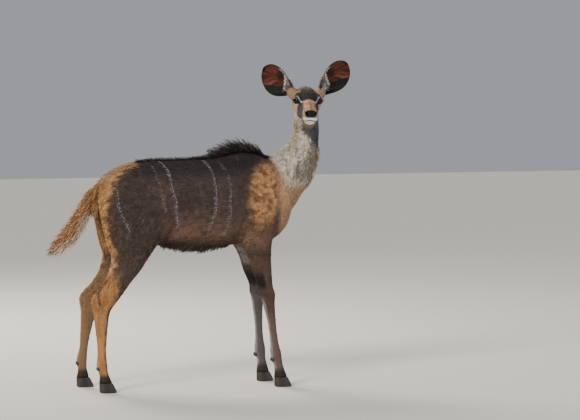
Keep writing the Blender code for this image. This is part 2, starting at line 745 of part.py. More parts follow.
def ear(side, word, kudu, workshop):
    """An ear: its cupped sheet, stood in a full round root, cut flat where it meets the head."""
    shell = applied(ear_shell(side, "ear_sheet", kudu))
    mesh_object("ear_root", ear_mound(side), workshop)
    fused(shell, workshop, "UNION")
    bm = bmesh.new()
    bm.from_mesh(shell.data)
    bpy.data.objects.remove(shell, do_unlink=True)
    cut(bm, ear_plane(side), True)
    keep_island(bm)
    mesh_object(f"ear_{word}", bm, kudu, "ear_mahogany")


def head(kudu, workshop):
    """The head: one skin of skull, brows and ear roots, with lids, eye sockets, mouth and nostrils."""
    bms = [head_form(), neck_form(NECK_TOP), ear_mound(1), ear_mound(-1)]
    for side in (1, -1):
        out, along, up = eye_axes(side)
        bms.append(ball(eye_centre(side), (out * 0.0208, along * 0.027, up * 0.024)))
        forward, high, wide = LIP
        bms.append(ball(on_head(forward, high, wide * side), (AHEAD * 0.022, UP * 0.0130, LEFT * 0.0190)))
    bms.append(ball(on_head(*CHIN), (AHEAD * 0.024, UP * 0.0185, LEFT * 0.0230)))
    skin = one_skin("head_skin", bms, HEAD_VOXEL, HEAD_TRIANGLES, 6, kudu)
    made = piece(skin, "head", [(HEAD_PLANE, True), (ear_plane(1), False), (ear_plane(-1), False)], kudu)
    surface = BVHTree.FromObject(made, bpy.context.evaluated_depsgraph_get())
    bpy.data.objects.remove(skin, do_unlink=True)
    for side in (1, -1):
        out, along, up = eye_axes(side)
        opening = eye_centre(side) + out * EYE_RADIUS
        mesh_object("opening", ball(opening, (out * 0.014, along * 0.0172, up * 0.0112), 10, 7), workshop)
        forward, high, wide = NOSTRIL
        slant = (UP + LEFT * side * 0.8).normalized()
        pit = ball(on_head(forward, high, wide * side),
                   (AHEAD * 0.010, slant * 0.0080, AHEAD.cross(slant) * 0.0036), 8, 6)
        mesh_object("nostril", pit, workshop)
    line = mouth_line(surface)
    mesh_object("mouth", tube(line, [MOUTH_RADIUS] * len(line), 6), workshop)
    fused(made, workshop, "DIFFERENCE")
    for side in (1, -1):
        for upper in (True, False):
            mesh_object("lid", lid(side, upper), workshop)
    fused(made, workshop, "UNION")
    for side in (1, -1):
        mesh_object("socket", eyeball(side, EYE_RADIUS + GAP), workshop)
    fused(made, workshop, "DIFFERENCE")


def centred(things):
    """Moves the meshes so that the middle of their box stands over the origin."""
    corners = np.array([v.co for thing in things for v in thing.data.vertices])
    middle = (corners.min(0) + corners.max(0)) / 2
    for thing in things:
        thing.data.transform(Matrix.Translation((-middle[0], -middle[1], 0.0)))


def main():
    clear_scene()
    kudu = collection("greater_kudu")
    workshop = collection("workshop")

    legs = {
        "hindleg_right": (HIND_NEAR, -1, 0.0, 0.0),
        "hindleg_left": (HIND_NEAR, 1, HIND_FAR_STEP, 0.0),
        "foreleg_right": (FORE_NEAR, -1, 0.0, 0.0),
        "foreleg_left": (FORE_NEAR, 1, FORE_FAR_STEP, FORE_FAR_KNEE),
    }
    forms = [torso_form(), neck_form(), head_form(), tail_form()]
    forms += [ridge_form(MANE_CORE), ridge_form(BELLY_CORE)]
    forms += [leg_form(*leg) for leg in legs.values()]
    body = one_skin("body_skin", forms, BODY_VOXEL, BODY_TRIANGLES, 10, kudu)
    grow_long_hair(body, workshop)

    piece(body, "torso", [(NECK_PLANE, False), (TAIL_PLANE, False), (FORE_PLANE, False),
                          (HIND_PLANE, False)], kudu)
    piece(body, "neck", [(NECK_PLANE, True), (HEAD_PLANE, False)], kudu, Vector((0.42, 0, 0.97)))
    piece(body, "tail", [(TAIL_PLANE, True)], kudu, Vector((-0.54, 0, 0.70)), "coat_tan")

    for side, word in ((-1, "right"), (1, "left")):
        y = 0.10 * side
        piece(body, f"foreleg_{word}_upper", [(FORE_PLANE, True), (KNEE_PLANE, False)],
              kudu, Vector((0.25, y, 0.47)))
        piece(body, f"foreleg_{word}_lower", [(KNEE_PLANE, True), (CORONET_PLANE, False)],
              kudu, Vector((0.30, y, 0.20)), "coat_tan")
        piece(body, f"hindleg_{word}_upper", [(HIND_PLANE, True), (HOCK_PLANE, False)],
              kudu, Vector((-0.33, y, 0.50)))
        piece(body, f"hindleg_{word}_lower", [(HOCK_PLANE, True), (CORONET_PLANE, False)],
              kudu, Vector((-0.46, y, 0.20)), "coat_tan")

    bpy.data.objects.remove(body, do_unlink=True)

    for name, (stations, side, foot_step, _) in legs.items():
        hoof(name, stations, side, foot_step, kudu)
    head(kudu, workshop)
    for side, word in ((-1, "right"), (1, "left")):
        mesh_object(f"eye_{word}", eyeball(side, EYE_RADIUS), kudu, "eye_dark")
        ear(side, word, kudu, workshop)
    centred(list(kudu.objects))


main()
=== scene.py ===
# %% [markdown]
# A young greater kudu cow, life size, as a museum shows it.
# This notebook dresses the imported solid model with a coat, eyes, hooves and ears.
# The solid model gives the places and the sizes. Everything here is built in the same
# frame, in metres, with Z up and the animal facing +X.

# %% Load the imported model
import math

import bmesh
import bpy
import numpy as np
from mathutils import Matrix, Vector
from mathutils.bvhtree import BVHTree


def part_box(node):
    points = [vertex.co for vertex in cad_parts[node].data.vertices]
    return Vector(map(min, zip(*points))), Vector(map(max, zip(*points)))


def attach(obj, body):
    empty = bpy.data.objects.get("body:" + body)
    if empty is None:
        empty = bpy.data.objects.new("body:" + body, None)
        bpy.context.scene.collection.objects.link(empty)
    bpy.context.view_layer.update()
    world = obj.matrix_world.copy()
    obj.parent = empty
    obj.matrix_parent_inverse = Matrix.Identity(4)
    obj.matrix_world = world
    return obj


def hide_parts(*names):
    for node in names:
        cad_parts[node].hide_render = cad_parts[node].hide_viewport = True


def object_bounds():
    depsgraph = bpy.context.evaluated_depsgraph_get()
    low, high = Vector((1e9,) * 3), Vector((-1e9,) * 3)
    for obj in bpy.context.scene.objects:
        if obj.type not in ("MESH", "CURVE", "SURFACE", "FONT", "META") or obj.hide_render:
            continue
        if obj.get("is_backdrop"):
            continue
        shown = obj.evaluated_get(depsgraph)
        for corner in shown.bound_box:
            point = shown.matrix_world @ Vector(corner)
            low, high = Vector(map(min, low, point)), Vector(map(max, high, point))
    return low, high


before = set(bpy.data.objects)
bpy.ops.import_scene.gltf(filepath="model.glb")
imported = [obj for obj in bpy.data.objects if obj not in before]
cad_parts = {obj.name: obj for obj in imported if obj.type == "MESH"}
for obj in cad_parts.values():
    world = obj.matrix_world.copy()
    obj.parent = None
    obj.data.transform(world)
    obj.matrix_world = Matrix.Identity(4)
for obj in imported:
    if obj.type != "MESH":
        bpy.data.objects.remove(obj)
CAD_BOX = [list(corner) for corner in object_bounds()]
print("solid model:", len(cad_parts), "nodes, box", CAD_BOX)

# %% [markdown]
# The body is one flowing form. It can be sculpted by hand, or described by cross
# sections that a skin is drawn over. Sections are chosen here, because each has a real
# height and width that can be read and corrected, and because the solid model is made
# from the same ones. Each row gives the top and the bottom of the section in side view,
# half its width, and how much narrower its top is than its bottom.

# %% Sections of the trunk and the neck
TORSO = [
    ((-0.446, 0.838), (-0.446, 0.755), 0.040, 0.0),   # back of the rump
    ((-0.420, 0.888), (-0.425, 0.690), 0.086, 0.0),   # pin bones
    ((-0.345, 0.938), (-0.340, 0.630), 0.116, 0.05),  # croup
    ((-0.235, 0.961), (-0.225, 0.604), 0.126, 0.10),  # hips
    ((-0.130, 0.963), (-0.120, 0.596), 0.126, 0.10),  # loin
    ((-0.020, 0.966), (-0.010, 0.586), 0.137, 0.12),  # middle of the barrel
    ((0.085, 0.976), (0.090, 0.590), 0.134, 0.20),    # girth
    ((0.180, 0.998), (0.200, 0.604), 0.118, 0.34),    # withers
    ((0.262, 0.982), (0.300, 0.610), 0.104, 0.30),    # shoulder
    ((0.330, 0.940), (0.372, 0.665), 0.082, 0.15),    # breast
    ((0.388, 0.860), (0.402, 0.742), 0.050, 0.0),     # point of the breast
]
# Here the last number is a sideways shift, as the neck turns towards the head
NECK = [
    ((0.235, 0.955), (0.375, 0.700), 0.088, 0.0),
    ((0.300, 0.974), (0.442, 0.800), 0.080, 0.0),
    ((0.346, 0.997), (0.492, 0.885), 0.071, -0.002),
    ((0.379, 1.026), (0.514, 0.965), 0.063, -0.006),
    ((0.399, 1.066), (0.517, 1.040), 0.056, -0.012),
    ((0.406, 1.112), (0.515, 1.105), 0.053, -0.022),
    ((0.410, 1.170), (0.508, 1.165), 0.050, -0.032),
    ((0.425, 1.212), (0.490, 1.208), 0.036, -0.040),
]
NECK_TOP = 4

# %% Sections of the legs: front, back, half width, distance from the middle plane
HIND_LEG = [
    ((-0.170, 0.840), (-0.415, 0.840), 0.040, 0.062),  # hip
    ((-0.168, 0.720), (-0.440, 0.735), 0.056, 0.076),  # thigh
    ((-0.190, 0.630), (-0.420, 0.628), 0.055, 0.086),  # stifle
    ((-0.236, 0.562), (-0.402, 0.572), 0.048, 0.094),
    ((-0.272, 0.508), (-0.405, 0.540), 0.040, 0.098),  # gaskin
    ((-0.316, 0.457), (-0.418, 0.492), 0.032, 0.100),
    ((-0.352, 0.408), (-0.447, 0.446), 0.025, 0.102),
    ((-0.400, 0.346), (-0.489, 0.388), 0.027, 0.104),  # hock
    ((-0.412, 0.302), (-0.478, 0.318), 0.025, 0.104),
    ((-0.419, 0.235), (-0.469, 0.236), 0.019, 0.105),  # cannon
    ((-0.423, 0.170), (-0.463, 0.168), 0.018, 0.105),
    ((-0.419, 0.118), (-0.468, 0.112), 0.023, 0.106),  # fetlock
    ((-0.415, 0.082), (-0.456, 0.076), 0.020, 0.106),  # pastern
    ((-0.403, 0.052), (-0.456, 0.048), 0.025, 0.107),
    ((-0.399, 0.036), (-0.456, 0.036), 0.027, 0.107),  # coronet
]
FORE_LEG = [
    ((0.345, 0.800), (0.165, 0.820), 0.045, 0.055),    # shoulder blade
    ((0.330, 0.700), (0.150, 0.690), 0.054, 0.068),    # upper arm
    ((0.300, 0.620), (0.156, 0.612), 0.046, 0.078),    # elbow
    ((0.292, 0.565), (0.184, 0.555), 0.038, 0.084),
    ((0.293, 0.490), (0.208, 0.484), 0.032, 0.088),    # forearm
    ((0.296, 0.430), (0.229, 0.428), 0.027, 0.090),
    ((0.306, 0.394), (0.234, 0.394), 0.029, 0.091),    # carpus
    ((0.305, 0.348), (0.252, 0.345), 0.024, 0.092),
    ((0.310, 0.270), (0.271, 0.268), 0.018, 0.094),    # cannon
    ((0.319, 0.195), (0.281, 0.192), 0.018, 0.095),
    ((0.332, 0.142), (0.282, 0.136), 0.023, 0.096),    # fetlock
    ((0.338, 0.095), (0.298, 0.086), 0.020, 0.097),    # pastern
    ((0.352, 0.056), (0.298, 0.050), 0.025, 0.098),
    ((0.358, 0.036), (0.298, 0.036), 0.027, 0.098),    # coronet
]
# Each leg: its sections, its side, and how far its foot and its knee are set back or forward
LEGS = {
    "hindleg_right": (HIND_LEG, -1, 0.0, 0.0),
    "hindleg_left": (HIND_LEG, 1, -0.056, 0.0),
    "foreleg_right": (FORE_LEG, -1, 0.0, 0.0),
    "foreleg_left": (FORE_LEG, 1, -0.028, 0.006),
}
# Tail, from the rump to its tip: (x, z), half depth of the brush, half width
TAIL = [
    ((-0.395, 0.858), 0.032, 0.030),
    ((-0.440, 0.820), 0.034, 0.030),
    ((-0.478, 0.766), 0.037, 0.031),
    ((-0.512, 0.713), 0.043, 0.033),
    ((-0.548, 0.664), 0.045, 0.032),
    ((-0.588, 0.620), 0.035, 0.025),
    ((-0.620, 0.595), 0.020, 0.015),
    ((-0.638, 0.582), 0.007, 0.006),
]

# %% [markdown]
# The head is described in its own frame: ahead of the eyes, up from them, and to the
# animal's left. The frame is turned towards the viewer, bowed and slightly rolled, so
# the head can be shaped as if it looked straight ahead.

# %% Sections and features of the head
EYE_MIDDLE = Vector((0.442, -0.110, 1.210))
HEAD_TURN = -98.5
HEAD_BOW = 22.0
HEAD_ROLL = 2.2
# Ahead of the eyes, top, bottom, half width, narrowing of the top
HEAD = [
    (-0.112, 0.006, -0.040, 0.022, 0.0),
    (-0.098, 0.021, -0.058, 0.042, 0.0),
    (-0.070, 0.031, -0.078, 0.056, 0.0),   # crown
    (-0.035, 0.035, -0.088, 0.062, -0.05),
    (-0.005, 0.036, -0.088, 0.061, -0.10),  # eyes
    (0.022, 0.029, -0.080, 0.052, -0.06),
    (0.048, 0.023, -0.074, 0.041, 0.04),
    (0.075, 0.019, -0.071, 0.034, 0.04),   # bridge of the nose
    (0.098, 0.016, -0.071, 0.032, -0.10),
    (0.116, 0.012, -0.068, 0.033, -0.16),  # muzzle
    (0.130, 0.005, -0.057, 0.029, -0.16),
    (0.137, -0.004, -0.042, 0.020, -0.10),
]
EYE_PLACE = (0.005, 0.000, 0.0410)
EYE_AIM = (0.74, 0.14, 0.66)
EYE_RADIUS = 0.0205
LID_RADIUS = 0.0238
# Half the opening between the lids, along it and upwards
EYE_OPENING = (0.0164, 0.0076)
EAR_ROOT = (-0.058, 0.006, 0.058)
EAR_SEAT = 0.014
EAR_LENGTH = 0.172
EAR_WIDTH = 0.122
EAR_STEM = 0.012
EAR_WIDEST = 0.60
EAR_WALL = 0.0026
EAR_SAG = 0.013
EAR_LEAN = 0.008
EAR_AIM = {-1: (-0.653, 0.345, -0.674), 1: (-0.294, 0.727, 0.622)}
MOUTH_HEIGHT = -0.033
MOUTH_SPAN = (0.110, 0.058)
MOUTH_RADIUS = 0.0014
NOSTRIL = (0.131, -0.004, 0.0165)
LIP = (0.117, -0.021, 0.015)
CHIN = (0.105, -0.062, 0.0)


def head_frame():
    turn = math.radians(HEAD_TURN)
    bow = math.radians(HEAD_BOW)
    ahead = Vector((math.cos(bow) * math.cos(turn), math.cos(bow) * math.sin(turn), -math.sin(bow)))
    up = Vector((math.sin(bow) * math.cos(turn), math.sin(bow) * math.sin(turn), math.cos(bow)))
    up = Matrix.Rotation(math.radians(-HEAD_ROLL), 3, ahead) @ up
    return ahead, up, up.cross(ahead)


AHEAD, UP, LEFT = head_frame()
SIDES = {"left": 1, "right": -1}


def on_head(forward, up, left):
    return EYE_MIDDLE + AHEAD * forward + UP * up + LEFT * left


def both_sides(place, side):
    """A place on the head, given for the left, on either side of it."""
    forward, up, out = place
    return on_head(forward, up, out * side)


def eye_centre(side):
    return both_sides(EYE_PLACE, side)


def head_coordinates(points):
    """How far ahead of the eyes, up from them and to the left the points are."""
    apart = points - np.array(EYE_MIDDLE)
    return apart @ np.array(AHEAD), apart @ np.array(UP), apart @ np.array(LEFT)


# %% [markdown]
# The solid model was moved so that the middle of its box stands over the origin. An
# eyeball is the same shape here and there, so the difference between the two places of
# its middle is that move. Pieces are built unmoved and shifted once, when finished.

# %% Find how far the solid model was moved
low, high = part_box("eye_left")
SHIFT = (low + high) / 2 - eye_centre(1)
SHIFT.z = 0.0
print("the frame is moved by", [round(v, 4) for v in SHIFT])

# %% [markdown]
# The camera stands where the photograph was taken from: fifteen degrees towards the
# animal's rear, a little above its middle, and far off with a long lens, so that the
# picture is nearly free of perspective. One photograph pixel is 1/236 of a metre.

# %% Camera
PHOTO_WIDTH = 580
PHOTO_HEIGHT = 420
PIXELS_PER_METRE = 236.0
CAMERA_AZIMUTH = math.radians(-15)
CAMERA_HEIGHT = math.radians(4)
CAMERA_DISTANCE = 12.0
ORIGIN_PIXEL = (200, 386)
SENSOR = 36.0

away = Vector((math.sin(CAMERA_AZIMUTH) * math.cos(CAMERA_HEIGHT),
               -math.cos(CAMERA_AZIMUTH) * math.cos(CAMERA_HEIGHT), math.sin(CAMERA_HEIGHT)))
across = Vector((math.cos(CAMERA_AZIMUTH), math.sin(CAMERA_AZIMUTH), 0.0))
upward = away.cross(across)
target = (across * (PHOTO_WIDTH / 2 - ORIGIN_PIXEL[0]) + upward * (ORIGIN_PIXEL[1] - PHOTO_HEIGHT / 2))
target = target / PIXELS_PER_METRE + SHIFT
camera_data = bpy.data.cameras.new("camera")
camera_data.sensor_width = SENSOR
camera_data.lens = SENSOR * CAMERA_DISTANCE / (PHOTO_WIDTH / PIXELS_PER_METRE)
camera = bpy.data.objects.new("camera", camera_data)
camera.location = target + away * CAMERA_DISTANCE
camera.rotation_euler = (-away).to_track_quat("-Z", "Y").to_euler()
bpy.context.scene.collection.objects.link(camera)
bpy.context.scene.camera = camera
print("camera lens", round(camera_data.lens, 1), "mm")

# %% [markdown]
# A soft sun, two large lamps and a pale sky light the model. The sun is the key light: it
# stands high on the left, where the light came from, and is seventeen degrees wide, so
# its shadows are soft. The lamp behind lights the edge of the coat, which is what makes
# hair read as hair.

# %% Floor, sky and lamps
def lamp(name, place, size, power, colour, kind="AREA"):
    """A lamp that looks at the model's middle; size is in metres, or in radians for a sun."""
    data = bpy.data.lights.new(name, kind)
    if kind == "AREA":
        data.shape = "SQUARE"
        data.size = size
    else:
        data.angle = size
    data.energy = power
    data.color = colour
    thing = bpy.data.objects.new(name, data)
    thing.location = place
    aim = Vector((0.0, 0.0, 0.75)) - Vector(place)
    thing.rotation_euler = aim.to_track_quat("-Z", "Y").to_euler()
    bpy.context.scene.collection.objects.link(thing)


lamp("key", (-3.2, -3.1, 3.6), 0.30, 2.9, (1.0, 0.94, 0.85), "SUN")
lamp("fill", (3.4, -3.0, 1.8), 3.0, 45, (0.86, 0.92, 1.0))
lamp("edge", (-1.2, 3.2, 3.4), 2.0, 230, (1.0, 0.95, 0.86))

world = bpy.data.worlds.new("studio")
world.use_nodes = True
world.node_tree.nodes["Background"].inputs["Color"].default_value = (0.84, 0.88, 0.94, 1.0)
world.node_tree.nodes["Background"].inputs["Strength"].default_value = 0.42
bpy.context.scene.world = world


# %% [markdown]
# Colours are written as the hex values that a colour picker shows. A render adds up
# light, so each is turned from that sRGB curve to linear values by one function.

# %% Colour and material helpers
def linear(code):
    """A hex colour as linear red, green and blue."""
    values = [int(code[k:k + 2], 16) / 255 for k in (1, 3, 5)]
    return tuple(v / 12.92 if v <= 0.04045 else ((v + 0.055) / 1.055) ** 2.4 for v in values)


def add_node(tree, kind, settings=None, **inputs):
    """Adds a node; an input that is a socket is linked, any other value is set."""
    node = tree.nodes.new(kind)
    for name, value in (settings or {}).items():
        setattr(node, name, value)
    for name, value in inputs.items():
        socket = node.inputs[name.replace("_", " ")]
        if isinstance(value, bpy.types.NodeSocket):
            tree.links.new(value, socket)
        else:
            socket.default_value = value
    return node


def new_material(name, colour="#808080", roughness=0.5):
    """A Principled material, its node tree and its shader."""
    made = bpy.data.materials.new(name)
    made.use_nodes = True
    shader = made.node_tree.nodes["Principled BSDF"]
    shader.inputs["Base Color"].default_value = (*linear(colour), 1.0)
    shader.inputs["Roughness"].default_value = roughness
    return made, made.node_tree, shader


# %% Floor
FLOOR_SIZE = 30.0
bm = bmesh.new()
bmesh.ops.create_grid(bm, x_segments=1, y_segments=1, size=FLOOR_SIZE / 2)
floor_mesh = bpy.data.meshes.new("floor")
bm.to_mesh(floor_mesh)
bm.free()
floor = bpy.data.objects.new("floor", floor_mesh)
bpy.context.scene.collection.objects.link(floor)
floor_material, tree, shader = new_material("matt_painted_floor", "#d8d4cc", 0.85)
floor_mesh.materials.append(floor_material)
floor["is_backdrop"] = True

# %% [markdown]
# A loft is a skin drawn over rings. Each ring is a circle from an operator, whose points
# are then moved on to the section's oval, and each pair of rings is bridged. A smooth
# curve through the sections gives the rings in between.

# %% Lofts
RING = 32
STEPS = 5


def spline(rows, steps):
    """Rows of numbers run through with a Catmull-Rom curve, with this many steps a span."""
    rows = np.array(rows, float)
    padded = np.vstack([2 * rows[0] - rows[1], rows, 2 * rows[-1] - rows[-2]])
    out = []
    for i in range(len(rows) - 1):
        a, b, c, d = padded[i:i + 4]
        for k in range(steps):
            t = k / steps
            out.append(0.5 * (2 * b + (c - a) * t + (2 * a - 5 * b + 4 * c - d) * t * t
                              + (3 * b - a - 3 * c + d) * t ** 3))
    out.append(rows[-1])
    return out


def add_ring(bm, centre, along, side, narrow=0.0, count=RING):
    """A closed ring of edges on an oval."""
    made = bmesh.ops.create_circle(bm, cap_ends=False, segments=count, radius=1.0)["verts"]
    for vert in made:
        x, y = vert.co.x, vert.co.y
        vert.co = centre + along * x + side * (y * (1.0 - narrow * x))
    return list({edge for vert in made for edge in vert.link_edges})


def close_up(bm, rings):
    """Bridges each ring to the next one and closes both ends."""
    for lower, upper in zip(rings, rings[1:]):
        bmesh.ops.bridge_loops(bm, edges=lower + upper)
    for end in (rings[0], rings[-1]):
        bmesh.ops.contextual_create(bm, geom=end)
    bmesh.ops.recalc_face_normals(bm, faces=bm.faces)


def loft(sections, count=RING):
    """A closed bmesh over sections, each a centre, two half axes and a narrowing."""
    bm = bmesh.new()
    close_up(bm, [add_ring(bm, *section, count=count) for section in sections])
    return bm


def side_sections(stations, steps=STEPS):
    """Centre, upper half axis, half width and last number of sections seen from the side."""
    rows = [(*top, *bottom, half, extra) for top, bottom, half, extra in stations]
    for top_x, top_z, low_x, low_z, half, extra in spline(rows, steps):
        centre = Vector(((top_x + low_x) / 2, 0.0, (top_z + low_z) / 2))
        yield centre, Vector(((top_x - low_x) / 2, 0.0, (top_z - low_z) / 2)), half, extra


def torso_form():
    return loft([(c, a, Vector((0, w, 0)), narrow) for c, a, w, narrow in side_sections(TORSO)])


def neck_form(first=0):
    return loft([(c + Vector((0, shift, 0)), a, Vector((0, w, 0)), 0.0)
                 for c, a, w, shift in side_sections(NECK[first:])])


def leg_form(stations, side, foot_step, knee_step):
    sections = []
    for centre, along, half, out in side_sections(stations, 4):
        lower = min(1.0, max(0.0, (0.42 - centre.z) / 0.38))
        bend = math.exp(-((centre.z - 0.40) / 0.06) ** 2)
        shift = Vector((foot_step * lower + knee_step * bend, side * out, 0.0))
        sections.append((centre + shift, along, Vector((0, half, 0)), 0.0))
    return loft(sections)


# %% [markdown]
# The dock is the bony part of the tail, thinner than the brush of hair that hides it.
# It starts as wide as the brush, under the rump's hair, and thins to a finger's width.

# %% Dock of the tail
DOCK_SHARE = 0.42


def tail_form():
    rows = spline([(*point, depth, half) for point, depth, half in TAIL[:-1]], STEPS)
    sections = []
    for k, (x, z, depth, half) in enumerate(rows):
        share = 1.0 + (DOCK_SHARE - 1.0) * min(1.0, k / (STEPS * 2.5))
        ahead, behind = rows[min(k + 1, len(rows) - 1)], rows[max(k - 1, 0)]
        run = Vector((ahead[0] - behind[0], 0.0, ahead[1] - behind[1])).normalized()
        upper = Vector((run.z, 0.0, -run.x))
        sections.append((Vector((x, 0, z)), upper * depth * share, Vector((0, half * share, 0)), 0.0))
    return loft(sections)


def head_form():
    return loft([(on_head(ahead, (top + low) / 2, 0.0), UP * (top - low) / 2, LEFT * half, narrow)
                 for ahead, top, low, half, narrow in spline(HEAD, STEPS)])


def ball(centre, axes, segments=28, rings=18):
    """An ellipsoid with these three half axes."""
    bm = bmesh.new()
    bmesh.ops.create_uvsphere(bm, u_segments=segments, v_segments=rings, radius=1.0)
    turned = Matrix((axes[0], axes[1], axes[2])).transposed().to_4x4()
    bmesh.ops.transform(bm, matrix=Matrix.Translation(centre) @ turned, verts=bm.verts)
    bmesh.ops.recalc_face_normals(bm, faces=bm.faces)
    return bm


def head_ball(place, axes):
    """A soft swelling on the head, placed and sized in the head's frame."""
    return ball(on_head(*place), (AHEAD * axes[0], UP * axes[1], LEFT * axes[2]))


# %% [markdown]
# A voxel remesh turns the overlapping forms into one closed skin, and a Taubin smooth
# rounds off the creases where they met without shrinking the form. The skin then sinks
# by the depth of the coat, because the hair is built on top of it as real geometry.

# %% From forms to one skin
def mesh_piece(name, bm):
    """A new object made from a bmesh, which is freed."""
    mesh = bpy.data.meshes.new(name)
    bm.to_mesh(mesh)
    bm.free()
    thing = bpy.data.objects.new(name, mesh)
    bpy.context.scene.collection.objects.link(thing)
    return thing


def bmesh_of(thing):
    bm = bmesh.new()
    bm.from_mesh(thing.data)
    return bm


def joined(bms):
    """Several bmeshes in one, and the others freed."""
    whole = bmesh.new()
    for bm in bms:
        scrap = bpy.data.meshes.new("scrap")
        bm.to_mesh(scrap)
        bm.free()
        whole.from_mesh(scrap)
        bpy.data.meshes.remove(scrap)
    return whole


def applied(thing):
    """Applies the object's modifiers."""
    depsgraph = bpy.context.evaluated_depsgraph_get()
    mesh = bpy.data.meshes.new_from_object(thing.evaluated_get(depsgraph))
    thing.modifiers.clear()
    thing.data = mesh
    return thing


def read(items, name, width, kind=float):
    """A table of numbers with a row for each vertex, edge or corner."""
    values = np.empty(len(items) * width, kind)
    items.foreach_get(name, values)
    return values.reshape(-1, width)


def vertex_array(mesh):
    return read(mesh.vertices, "co", 3)


def normal_array(mesh):
    return read(mesh.vertex_normals, "vector", 3, np.float32).astype(float)


def move_to(mesh, points):
    mesh.vertices.foreach_set("co", points.ravel())
    mesh.update()


def neighbours(mesh):
    """Both ends of every edge, and how many edges meet at each vertex."""
    ends = read(mesh.edges, "vertices", 2, int)
    count = np.bincount(ends.ravel(), minlength=len(mesh.vertices)).reshape(-1, 1)
    return ends, np.maximum(count, 1)


def neighbour_mean(values, ends, count):
    total = np.empty_like(values)
    for column in range(values.shape[1]):
        total[:, column] = (np.bincount(ends[:, 0], values[ends[:, 1], column], len(values))
                            + np.bincount(ends[:, 1], values[ends[:, 0], column], len(values)))
    return total / count


def eased(mesh, rounds):
    """Taubin smoothing: a step in and a slightly larger step out."""
    points = vertex_array(mesh)
    ends, count = neighbours(mesh)
    for k in range(rounds * 2):
        points += (0.55 if k % 2 == 0 else -0.57) * (neighbour_mean(points, ends, count) - points)
    move_to(mesh, points)


def one_skin(name, bms, voxel, rounds, depth):
    """Overlapping forms made one closed skin, eased and sunk by the coat's depth."""
    thing = mesh_piece(name, joined(bms))
    remesh = thing.modifiers.new("skin", "REMESH")
    remesh.mode = "VOXEL"
    remesh.voxel_size = voxel
    applied(thing)
    eased(thing.data, rounds)
    points = vertex_array(thing.data)
    points -= normal_array(thing.data) * depth(points).reshape(-1, 1)
    move_to(thing.data, points)
    print(name, len(thing.data.polygons), "faces")
    return thing


def ramp(low, high, values):
    """0 below low, 1 above high, and a soft ramp between, also where high is the lower."""
    t = np.clip((values - low) / (high - low), 0.0, 1.0)
    return t * t * (3 - 2 * t)


# %% Body skin
BODY_VOXEL = 0.0067
TRUNK_COAT = 0.0042
LEG_COAT = 0.0018


def body_coat_depth(points):
    """The coat is deep on the trunk and neck, and thin on the legs below the elbow and stifle."""
    return LEG_COAT + (TRUNK_COAT - LEG_COAT) * ramp(0.40, 0.60, points[:, 2])


forms = [torso_form(), neck_form(), head_form(), tail_form()]
forms += [leg_form(*leg) for leg in LEGS.values()]
body = one_skin("body_skin", forms, BODY_VOXEL, 11, body_coat_depth)

# %% [markdown]
# The head takes a finer skin. Balls and pads swell it at the brows, cheeks, lips, chin and nostrils.

# %% Head skin
HEAD_VOXEL = 0.0025
FACE_COAT = 0.0014
# The plane across the top of the neck where the head's finer skin takes over
THROAT_POINT = Vector((0.462, -0.012, 1.135))
THROAT_NORMAL = Vector((0.0, -0.48, 0.877)).normalized()


def beyond(points, point, normal):
    """How far points lie beyond a plane, on the side that its normal shows."""
    return (points - np.array(point)) @ np.array(Vector(normal).normalized())


def eye_axes(side):
    """Out of the socket, towards the head's front, and up."""
    out = (LEFT * side * EYE_AIM[2] + AHEAD * EYE_AIM[0] + UP * EYE_AIM[1]).normalized()
    high_axis = (UP - out * UP.dot(out)).normalized()
    return out, out.cross(high_axis), high_axis


def ear_axes(side):
    """Along the ear, across it, and the way that its cup faces."""
    aim = EAR_AIM[side]
    run = (AHEAD * aim[0] + UP * aim[1] + LEFT * aim[2]).normalized()
    face = AHEAD + LEFT * side * 0.22
    face = (face - run * face.dot(run)).normalized()
    return run, face.cross(run), face


def ear_root(side):
    return both_sides(EAR_ROOT, side)


def ear_mound(side):
    run, wide, face = ear_axes(side)
    return ball(ear_root(side) - run * 0.010, (run * 0.040, wide * 0.026, face * 0.025))


def head_coat_depth(points):
    """Hair is shortest at the muzzle and grows towards the crown and the throat."""
    forward = (points - np.array(EYE_MIDDLE)) @ np.array(AHEAD)
    return 0.0006 + (FACE_COAT - 0.0006) * ramp(0.11, 0.03, forward) \
        + (TRUNK_COAT - FACE_COAT) * ramp(0.035, 0.0, beyond(points, THROAT_POINT, THROAT_NORMAL))


forms = [head_form(), neck_form(NECK_TOP), ear_mound(1), ear_mound(-1)]
for side in SIDES.values():
    out, along, high_axis = eye_axes(side)
    forms.append(ball(eye_centre(side), (out * 0.0208, along * 0.0255, high_axis * 0.0220)))
    forms.append(head_ball((LIP[0], LIP[1], LIP[2] * side), (0.022, 0.0130, 0.0190)))
    forms.append(head_ball((0.119, -0.003, 0.0175 * side), (0.0175, 0.0100, 0.0115)))
    forms.append(head_ball((-0.006, 0.012, 0.040 * side), (0.030, 0.015, 0.016)))
    forms.append(head_ball((0.010, -0.046, 0.030 * side), (0.050, 0.026, 0.017)))
forms.append(head_ball(CHIN, (0.024, 0.0185, 0.0230)))
forms.append(head_ball((-0.078, -0.018, 0.0), (0.038, 0.042, 0.046)))
head = one_skin("head_skin", forms, HEAD_VOXEL, 7, head_coat_depth)

# %% [markdown]
# The two skins are cut at one plane across the top of the neck, a hair's breadth apart,
# and the two open rims are bridged, which leaves one closed skin that is fine on the
# head and coarser on the body.

# %% Join head and body
RIM_GAP = 0.0012


